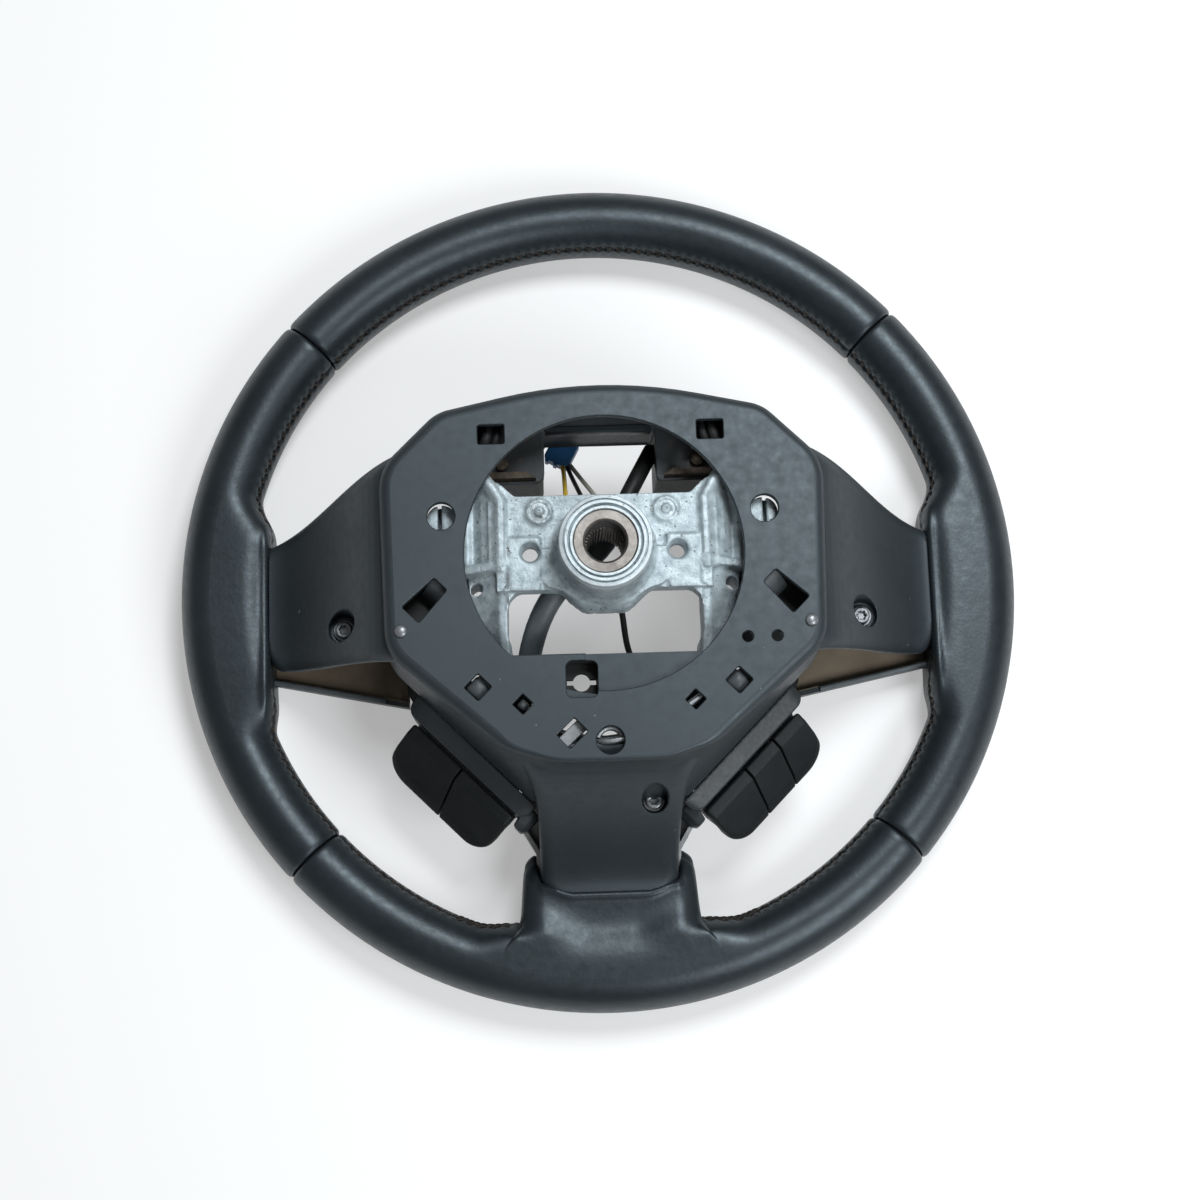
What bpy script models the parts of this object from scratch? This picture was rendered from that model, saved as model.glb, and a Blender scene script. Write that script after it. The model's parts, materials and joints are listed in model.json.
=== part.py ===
"""Three-spoke car steering wheel with its airbag module taken out, lying face down.

Metres. The origin is the rim's centre, on the surface that the rim's front side rests on. +Z points to the
steering column and +Y to twelve o'clock, so a view from above shows the wheel's back.
"""

import math

import bmesh
import bpy
from mathutils import Matrix, Vector

# Clearances
FIT = 0.0003
SCREW_FIT = 0.0004
FOAM_FIT = 0.0009
CLIP_FIT = 0.0014

# Rim: overall size, grip section, leather and rod
RIM_DIAMETER = 0.375
GRIP_WIDTH = 0.0295
GRIP_DEPTH = 0.033
LEATHER = 0.0016
ROD_DIAMETER = 0.013
SEAM_ANGLE = 48.0
SEAM_GAP = 0.0006
GRIP_POINTS = 16
SECTION_STEPS = 12
ROD_POINTS = 8
ROD_STEPS = 48

# Lobes: where the leather reaches inwards over the root of a spoke and ends in a flat mouth
SIDE_MOUTH_X = 0.1465
SIDE_MOUTH_Y = -0.009
SIDE_MOUTH_HALF = 0.030
LOWER_MOUTH_Y = -0.135
LOWER_MOUTH_HALF = 0.032
LOBE_OVERRUN = 0.0035
LOBE_FADE = 0.026
LOBE_SQUARENESS = 2.2
FOAM_SETBACK = 0.0035
CHEEK_TIP_Y = -0.119
CHEEK_TIP_WIDTH = 0.004
CHEEK_ROOT_WIDTH = 0.007
CHEEK_TIP_DEPTH = 0.018

# Hub casting: plate, side walls, boss and raised pad
HUB_FACE_Z = 0.096
HUB_PLATE = 0.009
HUB_TOP_Y = 0.0255
HUB_LOW_Y = -0.0145
HUB_HALF_WIDTH = 0.049
HUB_SHOULDER_X = 0.0365
EAR_X = 0.046
EAR_Y = 0.0345
WALL_IN_X = 0.0405
WALL_OUT_X = 0.0445
WALL_LOW_Y = -0.040
WALL_FRONT_Z = 0.064
BOSS_FACE_Z = 0.124
BOSS_DIAMETER = 0.038
BOSS_CHAMFER = 0.0015
PAD_HALF_WIDTH = 0.0275
PAD_TOP_Y = 0.0024
PAD_LOW_Y = -0.0245
PAD_RISE = 0.005
LUG_LENGTH = 0.005
LUG_WIDTH = 0.006
LUG_HEIGHT = 0.014

# Splined bush in the hub
BUSH_DIAMETER = 0.026
BUSH_BORE = 0.0176
SPLINE_DEPTH = 0.0009
SPLINES = 36
BUSH_SINK = 0.0015

# Holes and rivets of the hub plate
PULLER_FROM_BOSS = 0.0115
PULLER_Y = 0.0013
PULLER_HOLE = 0.0066
RIVET_FROM_BOSS = 0.0073
RIVET_Y = 0.0184
RIVET_HEAD = 0.0074
RIVET_SHANK = 0.006
RIVET_RISE = 0.0018
RIVET_BOSS = 0.0104
RIVET_BOSS_RISE = 0.0012

# Side arms and lower legs of the casting
ARM_WIDTH = 0.020
ARM_THICKNESS = 0.010
ARM_STRAIGHT_X = 0.140
LEG_WIDTH = 0.016
FOOT_HALF_WIDTH = 0.022
FOOT_START_Y = -0.138
SLEEVE_DIAMETER = 0.019
SIDE_SLEEVE_LENGTH = 0.026
LOWER_SLEEVE_LENGTH = 0.052
WINDOW_POST = 0.013
WINDOW_POST_TOP = 0.094

# Rear cover: plate outline, skirt and walls
PLATE_FACE_Z = 0.102
PLATE_THICKNESS = 0.003
COVER_WALL = 0.0025
PLATE_HALF_WIDTH = 0.0925
PLATE_PEAK_Y = 0.0762
PLATE_SHOULDER_X = 0.068
PLATE_SHOULDER_Y = 0.0615
PLATE_SIDE_TOP_Y = 0.0375
PLATE_SIDE_LOW_X = 0.0905
PLATE_SIDE_LOW_Y = -0.039
PLATE_LOW_X = 0.043
PLATE_LOW_Y = -0.080
PLATE_FOOT_X = 0.022
PLATE_FOOT_Y = -0.086
PLATE_EDGE_RADIUS = 0.005
SKIRT_Z = 0.061
SKIRT_FLARE = 0.002
SKIRT_POD_N = 0.0927
SKIRT_LOW_X = 0.033
CENTRE_HOLE = 0.115
PANEL_TOP_Y = -0.042
PANEL_STEP = 0.0025
PANEL_LAP = 0.0015
PANEL_SPLIT_X = -0.009

# Rear cover: shells of the spokes
SIDE_ROOT_X = 0.084
SIDE_ROOT_LOW_Y = -0.044
SIDE_ROOT_HIGH_Y = 0.046
SIDE_END_LOW_Y = -0.0385
SIDE_END_HIGH_Y = 0.021
LOWER_ROOT_Y = -0.078
LOWER_ROOT_HALF = 0.045
LOWER_END_HALF = 0.030
LOWER_NARROWING = 6
SPOKE_ROOT_Z = 0.097
SPOKE_END_Z = 0.030
SPOKE_EDGE = 0.006
SPOKE_PARTING_Z = 0.017
SPOKE_PARTING_SLOPE = 0.42
SPOKE_STATIONS = 6

# Rear cover: screw wells, windows, pin holes and keyhole well
SIDE_SCREW_X = 0.111
SIDE_SCREW_Y = -0.0225
SIDE_WELL = 0.013
SIDE_WELL_FLOOR_Z = 0.056
LOWER_SCREW_X = 0.0185
LOWER_SCREW_Y = -0.0995
LOWER_WELL = 0.011
LOWER_WELL_FLOOR_Z = 0.062
WELL_WALL = 0.0017
WELL_FLOOR = 0.003
TOP_WINDOW_X = 0.0454
TOP_WINDOW_Y = 0.0506
TOP_WINDOW_WIDTH = 0.011
TOP_WINDOW_HEIGHT = 0.0082
ROUND_WINDOW_X = 0.0666
ROUND_WINDOW_Y = 0.0165
ROUND_WINDOW = 0.0115
SLOT_X = 0.0736
SLOT_Y = -0.018
SLOT_LENGTH = 0.0177
SLOT_WIDTH = 0.0074
DIAMOND_X = 0.053
DIAMOND_Y = -0.0546
DIAMOND = 0.008
SMALL_DIAMOND_X = 0.035
SMALL_DIAMOND_Y = -0.062
SMALL_DIAMOND = 0.006
BAR_WINDOW_X = -0.0154
BAR_WINDOW_Y = -0.0743
BAR_WINDOW_LENGTH = 0.010
BAR_WINDOW_WIDTH = 0.0078
WIRE_WINDOW_Y = -0.0776
WIRE_WINDOW = 0.0115
VENT_X = 0.0573
VENT_Y = -0.0369
VENT_PITCH = 0.0121
VENT = 0.0045
KEY_X = -0.0108
KEY_Y = -0.0524
KEY_WIDTH = 0.0127
KEY_HEIGHT = 0.015
KEY_CORNER = 0.0025
KEY_WALL = 0.0015
KEY_FLOOR_Z = 0.088
KEY_FLOOR = 0.002
KEY_HOLE = 0.0072
KEY_BAR_LENGTH = 0.012
KEY_BAR_WIDTH = 0.002
PIN_X = 0.0836
PIN_Y = -0.031
PIN_HEAD = 0.005
PIN_SHANK = 0.0026
PIN_RISE = 0.0015
PIN_LENGTH = 0.009

# Screws
SCREW_HEAD = 0.0072
SCREW_HEAD_HEIGHT = 0.0032
SCREW_SHANK = 0.004
SCREW_RECESS = 0.0034
SCREW_RECESS_DEPTH = 0.0016
SCREW_BOSS = 0.011
COVER_SCREW_LENGTH = 0.012
POD_SCREW_LENGTH = 0.010
BEZEL_SCREW_LENGTH = 0.014
TAP_SPARE = 0.001

# Front trims
TRIM_WALL = 0.0022
TRIM_ROOT_X = 0.088
TRIM_ROOT_LOW_Y = -0.053
TRIM_END_LOW_Y = -0.041
TRIM_ROOT_HIGH_Y = 0.040
TRIM_FRONT_END_Z = 0.006
TRIM_FRONT_ROOT_Z = 0.018
TRIM_LIP = 0.008
LOWER_TRIM_ROOT_Y = -0.0885
LOWER_TRIM_ROOT_HALF = 0.037
LOWER_TRIM_WING_Y = -0.1075
LOWER_TRIM_WING_HALF = 0.038
LOWER_TRIM_NECK_Y = -0.1180
LOWER_TRIM_NECK_HALF = 0.0318
LOWER_TRIM_END_HALF = 0.0312

# Front bezel under the pods
BEZEL_Z = 0.024
BEZEL_THICKNESS = 0.003
BEZEL_OUT_X = 0.0865
BEZEL_IN_X = 0.062
BEZEL_TOP_Y = -0.008
BEZEL_LOW_Y = -0.087
BEZEL_IN_LOW_Y = -0.0675
BEZEL_SCREW_X = 0.0305
BEZEL_SCREW_Y = -0.074

# Airbag surround, snap brackets and retainer spring
SURROUND_FRONT_Z = 0.042
SURROUND_BACK_Z = 0.078
SURROUND_HALF_WIDTH = 0.056
SURROUND_TOP_Y = 0.066
NOTCH_HALF_WIDTH = 0.024
NOTCH_TOP_Y = 0.0575
SURROUND_LIP = 0.0015
SURROUND_LIP_HEIGHT = 0.003
SNAP_ARM_WIDTH = 0.006
SNAP_ARM_DEPTH = 0.003
SNAP_HOOK = 0.006
BRACKET_Z = 0.084
BRACKET_THICKNESS = 0.003
BRACKET_FOOT_X = 0.039
BRACKET_FOOT_Y = -0.058
BRACKET_FOOT = 0.006
BRACKET_FOOT_Z = 0.0758
SNAP_POST = 0.0084
SMALL_SNAP_POST = 0.0052
SNAP_DOME = 0.003
SPRING_WIRE = 0.003

# Switch pods, in their own tilted frame: along the pod, down its face, and out of its face
POD_TILT = 45.0
POD_CENTRE_N = 0.1110
POD_CENTRE_Z = 0.0403
POD_CENTRE_T = 0.0160
BUTTON_TRAVEL = 0.0012
CAP_LENGTH = 0.058
CAP_CORNER = 0.012
BUTTON_GROOVE = 0.0006
LEFT_GROOVE = 0.0015
RIGHT_GROOVES = (-0.0105, 0.0068)
GROOVE_LEAN = 0.002
STEM_INSET = 0.0024
STEM_DEPTH = 0.003
TROUGH_WALL = 0.0025
TROUGH_FLOOR = 0.0025
MAT = 0.0015
BOARD = 0.0016
STRIP_SHIFT = -0.0015
TROUGH_SETBACK = 0.0006
STRIP_LENGTH = 0.069
STRIP_WIDTH = 0.0076
STRIP_RISE = 0.0132
STRIP_THICKNESS = 0.0025
EAR_LENGTH = 0.010
EAR_REACH = 0.005
EAR_N = 0.093
EAR_Z = 0.044
EAR_THICKNESS = 0.0025
EAR_SPREAD = 0.038
EAR_SHIFT = -0.0030
POST_DIAMETER = 0.009

# Wiring
SLEEVE_HOSE = 0.0094
LEAD = 0.002
POD_LEAD = 0.0026
CLIP_LENGTH = 0.007
CLIP_WALL = 0.002
CLIP_DEPTH = 0.008
CONNECTOR_LENGTH = 0.014
CONNECTOR_WIDTH = 0.010
CONNECTOR_HEIGHT = 0.007
CONNECTOR_X = -0.0155
CONNECTOR_Y = 0.0555
CONNECTOR_TURN = -28.0

ROUND_SIDES = 20
SMALL_SIDES = 12

# Sizes that follow from the ones above
RIM_RADIUS = RIM_DIAMETER / 2 - GRIP_WIDTH / 2
RIM_INNER = RIM_DIAMETER / 2 - GRIP_WIDTH
RIM_Z = GRIP_DEPTH / 2
HUB_FRONT_Z = HUB_FACE_Z - HUB_PLATE
PULLER_X = BOSS_DIAMETER / 2 + PULLER_FROM_BOSS
RIVET_X = BOSS_DIAMETER / 2 + RIVET_FROM_BOSS
PLATE_BACK_Z = PLATE_FACE_Z - PLATE_THICKNESS
SIDE_END_X = SIDE_MOUTH_X - FIT
LOWER_END_Y = LOWER_MOUTH_Y + FIT


def clear_scene():
    for item in list(bpy.data.objects):
        bpy.data.objects.remove(item)


def make_material(name, colour, roughness, metallic=0.0):
    material = bpy.data.materials.new(name)
    material.use_nodes = True
    shader = material.node_tree.nodes["Principled BSDF"]
    shader.inputs["Base Color"].default_value = (*colour, 1.0)
    shader.inputs["Roughness"].default_value = roughness
    shader.inputs["Metallic"].default_value = metallic
    return material


# Helpers that make solids


def place(name, mesh, material=None, parent=None):
    item = bpy.data.objects.new(name, mesh)
    bpy.context.scene.collection.objects.link(item)
    if material:
        mesh.materials.append(material)
    if parent:
        item.parent = parent
    return item


def finish(shape, name, material, parent):
    bmesh.ops.recalc_face_normals(shape, faces=shape.faces)
    mesh = bpy.data.meshes.new(name)
    shape.to_mesh(mesh)
    shape.free()
    mesh.shade_smooth()
    mesh.set_sharp_from_angle(angle=math.radians(35))
    return place(name, mesh, material, parent)


def skin(shape, rows, loop):
    following = rows[1:] + rows[:1] if loop else rows[1:]
    for low, high in zip(rows, following):
        for i in range(len(low)):
            j = (i + 1) % len(low)
            shape.faces.new((low[i], low[j], high[j], high[i]))


def loft(name, rings, material=None, loop=False, parent=None):
    """One closed body through rings of points. With loop, the last ring joins the first."""
    shape = bmesh.new()
    rows = [[shape.verts.new(point) for point in ring] for ring in rings]
    skin(shape, rows, loop)
    if not loop:
        shape.faces.new(rows[0])
        shape.faces.new(rows[-1])
    return finish(shape, name, material, parent)


def pipe(name, outer_rings, inner_rings, material):
    """A body between an outer and an inner skin, open at both ends."""
    shape = bmesh.new()
    outer = [[shape.verts.new(point) for point in ring] for ring in outer_rings]
    inner = [[shape.verts.new(point) for point in ring] for ring in inner_rings]
    skin(shape, outer, False)
    skin(shape, inner, False)
    for end in (0, -1):
        skin(shape, [outer[end], inner[end]], False)
    return finish(shape, name, material, None)


def prism(name, outline, low, high, material=None, parent=None):
    rings = [[(x, y, z) for x, y in outline] for z in (low, high)]
    return loft(name, rings, material, parent=parent)


def block(name, low, high, material=None, parent=None):
    outline = [(low[0], low[1]), (high[0], low[1]), (high[0], high[1]), (low[0], high[1])]
    return prism(name, outline, low[2], high[2], material, parent)


def circle(centre, radius, sides):
    turns = [2 * math.pi * i / sides for i in range(sides)]
    return [(centre[0] + radius * math.cos(t), centre[1] + radius * math.sin(t)) for t in turns]


def turned(name, centre, profile, sides=ROUND_SIDES, material=None):
    """A turned body on a vertical axis. The profile is (diameter, z) from one end to the other."""
    rings = [[(x, y, z) for x, y in circle(centre, size / 2, sides)] for size, z in profile]
    return loft(name, rings, material)


def disc(name, centre, diameter, low, high, sides=ROUND_SIDES, material=None):
    return turned(name, centre, [(diameter, low), (diameter, high)], sides, material)


def rectangle(centre, length, width, turn_degrees=0.0):
    turn = Matrix.Rotation(math.radians(turn_degrees), 2)
    corners = ((-1, -1), (1, -1), (1, 1), (-1, 1))
    return [tuple(turn @ Vector((a * length / 2, b * width / 2)) + Vector(centre)) for a, b in corners]


def rounded(corners, radii, steps):
    """An outline with each corner replaced by an arc of its radius, or of the largest that its edges allow."""
    most_of_edge = 0.6
    outline = []
    for i, corner in enumerate(corners):
        here = Vector(corner)
        back = Vector(corners[i - 1]) - here
        ahead = Vector(corners[(i + 1) % len(corners)]) - here
        shorter = min(back.length, ahead.length)
        back.normalize()
        ahead.normalize()
        half = math.acos(max(-1.0, min(1.0, back.dot(ahead)))) / 2
        reach = min(radii[i] / math.tan(half), most_of_edge * shorter)
        centre = here + (back + ahead).normalized() * reach / math.cos(half)
        start = here + back * reach - centre
        end = here + ahead * reach - centre
        sweep = start.angle_signed(end)
        for k in range(steps + 1):
            turn = Matrix.Rotation(-sweep * k / steps, 2)
            outline.append(tuple(centre + turn @ start))
    return outline


def grown(outline, amount):
    """The outline moved outwards along its own normals."""
    moved = []
    for i, point in enumerate(outline):
        run = Vector(outline[(i + 1) % len(outline)]) - Vector(outline[i - 1])
        normal = Vector((run.y, -run.x)).normalized()
        moved.append(tuple(Vector(point) + normal * amount))
    area = sum(a[0] * b[1] - b[0] * a[1] for a, b in zip(outline, outline[1:] + outline[:1]))
    return moved if area > 0 else grown(outline[::-1], amount)[::-1]


def mirrored(half):
    """A whole outline from its +X half, listed from the top down."""
    return half + [(-x, y) for x, y in reversed(half) if x > 0]


def boolean(target, tools, operation):
    for tool in tools:
        tool.hide_render = True
        tool.display_type = "WIRE"
        modifier = target.modifiers.new(f"{operation.lower()} {tool.name}", "BOOLEAN")
        modifier.operation = operation
        modifier.object = tool


def unite(target, *tools):
    boolean(target, tools, "UNION")


def cut(target, *tools):
    boolean(target, tools, "DIFFERENCE")


def smooth(amount):
    amount = max(0.0, min(1.0, amount))
    return amount * amount * (3 - 2 * amount)


def between(low, high, share):
    return low + (high - low) * share


def both_sides():
    return (("left", -1), ("right", 1))


# Rim


def lobe_reach(clock):
    """How much further inwards the grip reaches at this clock angle, in radians from twelve o'clock."""
    side_depth = RIM_INNER - SIDE_MOUTH_X + LOBE_OVERRUN
    lower_depth = RIM_INNER + LOWER_MOUTH_Y + LOBE_OVERRUN
    side = math.pi / 2 - math.asin(SIDE_MOUTH_Y / RIM_INNER)
    lobes = (
        (side, SIDE_MOUTH_HALF, side_depth),
        (2 * math.pi - side, SIDE_MOUTH_HALF, side_depth),
        (math.pi, LOWER_MOUTH_HALF, lower_depth),
    )
    reach = 0.0
    for centre, half, depth in lobes:
        away = abs(math.remainder(clock - centre, 2 * math.pi)) * RIM_INNER
        reach = max(reach, depth * smooth(1 - (away - half) / LOBE_FADE))
    return reach


def grip_ring(clock, inset):
    """One cross-section of the grip. The inner half grows longer and squarer over a spoke's root."""
    reach = lobe_reach(clock)
    deepest = RIM_INNER + LOWER_MOUTH_Y + LOBE_OVERRUN
    power = 2 / (2 + LOBE_SQUARENESS * min(1.0, 1.6 * reach / deepest))
    ring = []
    for i in range(GRIP_POINTS):
        turn = 2 * math.pi * i / GRIP_POINTS
        along, across = math.cos(turn), math.sin(turn)
        if along >= 0:
            radial = (GRIP_WIDTH / 2 - inset) * along
            axial = (GRIP_DEPTH / 2 - inset) * across
        else:
            radial = -(GRIP_WIDTH / 2 + reach - inset) * abs(along) ** power
            axial = (GRIP_DEPTH / 2 - inset) * math.copysign(abs(across) ** power, across)
        radius = RIM_RADIUS + radial
        ring.append((radius * math.sin(clock), radius * math.cos(clock), RIM_Z + axial))
    return ring


def rod_ring(clock, radius):
    ring = []
    for i in range(ROD_POINTS):
        turn = 2 * math.pi * (i + 0.5) / ROD_POINTS
        out = RIM_RADIUS + radius * math.cos(turn)
        ring.append((out * math.sin(clock), out * math.cos(clock), RIM_Z + radius * math.sin(turn)))
    return ring


def rod_torus(name, radius, material=None):
    clocks = [2 * math.pi * i / ROD_STEPS for i in range(ROD_STEPS)]
    return loft(name, [rod_ring(clock, radius) for clock in clocks], material, loop=True)


def mouth_cutters(name, setback):
    """Blocks that end the lobes in flat mouths, this far outside the spokes' ends."""
    deep, tall, low = 0.03, 2 * GRIP_DEPTH, -GRIP_DEPTH
    tools = []
    for side, sign in both_sides():
        plane = sign * (SIDE_MOUTH_X + setback)
        inner = plane - sign * deep
        half = SIDE_MOUTH_HALF + LOBE_FADE / 2
        tools.append(
            block(
                f"{name}_mouth_{side}",
                (min(plane, inner), SIDE_MOUTH_Y - half, low),
                (max(plane, inner), SIDE_MOUTH_Y + half, tall),
            )
        )
    half = LOWER_MOUTH_HALF + LOBE_FADE / 2
    plane = LOWER_MOUTH_Y - setback
    tools.append(block(f"{name}_mouth_lower", (-half, plane, low), (half, plane + deep, tall)))
    return tools


def rim_clocks(start, end, trim):
    """Clock angles along one leather section, shortened at both ends by half a seam gap."""
    first, last = math.radians(start) + trim, math.radians(end) - trim
    return [between(first, last, i / SECTION_STEPS) for i in range(SECTION_STEPS + 1)]


def cheek(side, sign):
    """A tongue of leather that runs up beside the lower spoke."""
    inner = LOWER_MOUTH_HALF + FIT
    root_y = LOWER_MOUTH_Y - FOAM_SETBACK + FIT
    stations = (
        (CHEEK_TIP_Y, CHEEK_TIP_WIDTH, CHEEK_TIP_DEPTH / 2),
        (between(CHEEK_TIP_Y, root_y, 0.5), between(CHEEK_TIP_WIDTH, CHEEK_ROOT_WIDTH, 0.3), 0.4 * GRIP_DEPTH),
        (root_y, CHEEK_ROOT_WIDTH, 0.4 * GRIP_DEPTH),
    )
    rings = []
    for y, width, deep in stations:
        section = rounded(rectangle((inner + width / 2, RIM_Z), width, 2 * deep), [0.3 * width] * 4, 1)
        rings.append([(sign * x, y, z) for x, z in section])
    return loft(f"cheek_{side}", rings)


def make_leather(material):
    sections = (
        ("leather_top", -SEAM_ANGLE, SEAM_ANGLE),
        ("leather_right", SEAM_ANGLE, 180 - SEAM_ANGLE),
        ("leather_bottom", 180 - SEAM_ANGLE, 180 + SEAM_ANGLE),
        ("leather_left", 180 + SEAM_ANGLE, 360 - SEAM_ANGLE),
    )
    left, right, lower = mouth_cutters("leather", 0.0)
    mouths = {"leather_left": left, "leather_right": right, "leather_bottom": lower}
    trim = SEAM_GAP / 2 / RIM_RADIUS
    for name, start, end in sections:
        clocks = rim_clocks(start, end, trim)
        outer = [grip_ring(clock, 0.0) for clock in clocks]
        inner = [grip_ring(clock, LEATHER) for clock in clocks]
        section = pipe(name, outer, inner, material)
        if name in mouths:
            cut(section, mouths[name])
        if name == "leather_bottom":
            unite(section, *(cheek(side, sign) for side, sign in both_sides()))


def foam_clocks():
    """The same stations as the leather's, so that the foam lies inside it at an even gap."""
    clocks = []
    for start, end in ((-SEAM_ANGLE, SEAM_ANGLE), (SEAM_ANGLE, 180 - SEAM_ANGLE)):
        clocks += rim_clocks(start, end, 0.0)[:-1]
    return clocks + [clock + math.pi for clock in clocks]


def make_foam(material):
    rings = [grip_ring(clock, LEATHER + FOAM_FIT) for clock in foam_clocks()]
    foam = loft("rim_foam", rings, material, loop=True)
    cut(foam, rod_torus("foam_bore", ROD_DIAMETER / 2 + FIT))
    cut(foam, *mouth_cutters("foam", FOAM_SETBACK))
    cut(foam, *arm_ends("foam_passage", FIT), *sleeves("foam_sleeve", FIT))


# Hub casting


def arm_ends(name, gap):
    """The straight ends of the arms and the foot, as solids grown by a gap."""
    tools = []
    half_width, half_deep = ARM_WIDTH / 2 + gap, ARM_THICKNESS / 2 + gap
    for side, sign in both_sides():
        near, far = sign * ARM_STRAIGHT_X, sign * RIM_RADIUS
        tools.append(
            block(
                f"{name}_{side}",
                (min(near, far), SIDE_MOUTH_Y - half_width, RIM_Z - half_deep),
                (max(near, far), SIDE_MOUTH_Y + half_width, RIM_Z + half_deep),
            )
        )
    half_foot = FOOT_HALF_WIDTH + gap
    low, high = (-half_foot, -RIM_RADIUS, RIM_Z - half_deep), (half_foot, FOOT_START_Y, RIM_Z + half_deep)
    tools.append(block(f"{name}_lower", low, high))
    return tools


def sleeves(name, gap):
    """Sleeves cast round the rim's rod, as solids grown by a gap."""
    radius = SLEEVE_DIAMETER / 2 + gap
    places = [
        (f"{name}_left", (-RIM_RADIUS, SIDE_MOUTH_Y), SIDE_SLEEVE_LENGTH, "Y"),
        (f"{name}_right", (RIM_RADIUS, SIDE_MOUTH_Y), SIDE_SLEEVE_LENGTH, "Y"),
        (f"{name}_lower", (0.0, -RIM_RADIUS), LOWER_SLEEVE_LENGTH, "X"),
    ]
    tools = []
    for label, (x, y), length, axis in places:
        rings = []
        for end in (-length / 2 - gap, length / 2 + gap):
            section = circle((0.0, RIM_Z), radius, ROUND_SIDES)
            if axis == "Y":
                rings.append([(x + a, y + end, z) for a, z in section])
            else:
                rings.append([(x + end, y + a, z) for a, z in section])
        tools.append(loft(label, rings))
    return tools


def arm(side, sign):
    """A side arm: wide and high at the hub, narrow and low where it enters the rim."""
    half = ARM_THICKNESS / 2
    stations = (
        (WALL_IN_X + FIT, WALL_LOW_Y + 0.015, EAR_Y - 0.002, HUB_FACE_Z - 0.014, half + 0.004),
        (0.060, SIDE_MOUTH_Y - 0.013, 0.026, 0.068, half),
        (0.090, SIDE_MOUTH_Y - 0.011, 0.009, 0.050, half),
        (SIDE_SCREW_X, SIDE_MOUTH_Y - 0.011, 0.006, 0.036, half),
        (ARM_STRAIGHT_X, SIDE_MOUTH_Y - ARM_WIDTH / 2, SIDE_MOUTH_Y + ARM_WIDTH / 2, RIM_Z, half),
        (ARM_STRAIGHT_X + 0.004, SIDE_MOUTH_Y - ARM_WIDTH / 2, SIDE_MOUTH_Y + ARM_WIDTH / 2, RIM_Z, half),
    )
    rings = []
    for x, low, high, z, deep in stations:
        ring = ((low, z - deep), (high, z - deep), (high, z + deep), (low, z + deep))
        rings.append([(sign * x, y, height) for y, height in ring])
    return loft(f"arm_{side}", rings)


def leg_stations():
    """Centre line and half sizes of a lower leg: x, y, z, half width, half height."""
    foot = FOOT_HALF_WIDTH - LEG_WIDTH / 2
    return (
        ((WALL_IN_X + WALL_OUT_X) / 2, WALL_LOW_Y + 0.020, 0.078, 0.0018, 0.012),
        (0.042, WALL_LOW_Y - 0.005, 0.072, 0.0035, 0.010),
        (BEZEL_SCREW_X, BEZEL_SCREW_Y, 0.053, 0.005, 0.008),
        (LOWER_SCREW_X + 0.002, LOWER_SCREW_Y, 0.034, 0.006, 0.006),
        (foot, FOOT_START_Y + 0.0015, RIM_Z, LEG_WIDTH / 2, ARM_THICKNESS / 2),
        (foot, FOOT_START_Y - 0.004, RIM_Z, LEG_WIDTH / 2, ARM_THICKNESS / 2),
    )


def leg(side, sign):
    rings = []
    for x, y, z, half, deep in leg_stations():
        ring = ((x - half, z - deep), (x + half, z - deep), (x + half, z + deep), (x - half, z + deep))
        rings.append([(sign * a, y, height) for a, height in ring])
    return loft(f"leg_{side}", rings)


def hub_outline():
    half = [
        (0.0, HUB_TOP_Y),
        (HUB_SHOULDER_X, HUB_TOP_Y),
        (EAR_X, EAR_Y),
        (HUB_HALF_WIDTH, EAR_Y),
        (HUB_HALF_WIDTH, HUB_LOW_Y),
        (0.0, HUB_LOW_Y),
    ]
    return mirrored(half)


def pad_outline():
    """The raised pad below the boss, with a bowed lower edge."""
    bow = 6
    half = [(0.0, PAD_TOP_Y), (PAD_HALF_WIDTH, PAD_TOP_Y)]
    for i in range(bow + 1):
        turn = math.pi / 2 * i / bow
        y = HUB_LOW_Y + (PAD_LOW_Y - HUB_LOW_Y) * math.sin(turn)
        half.append((PAD_HALF_WIDTH * math.cos(turn) if i < bow else 0.0, y))
    return mirrored(half)


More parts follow.
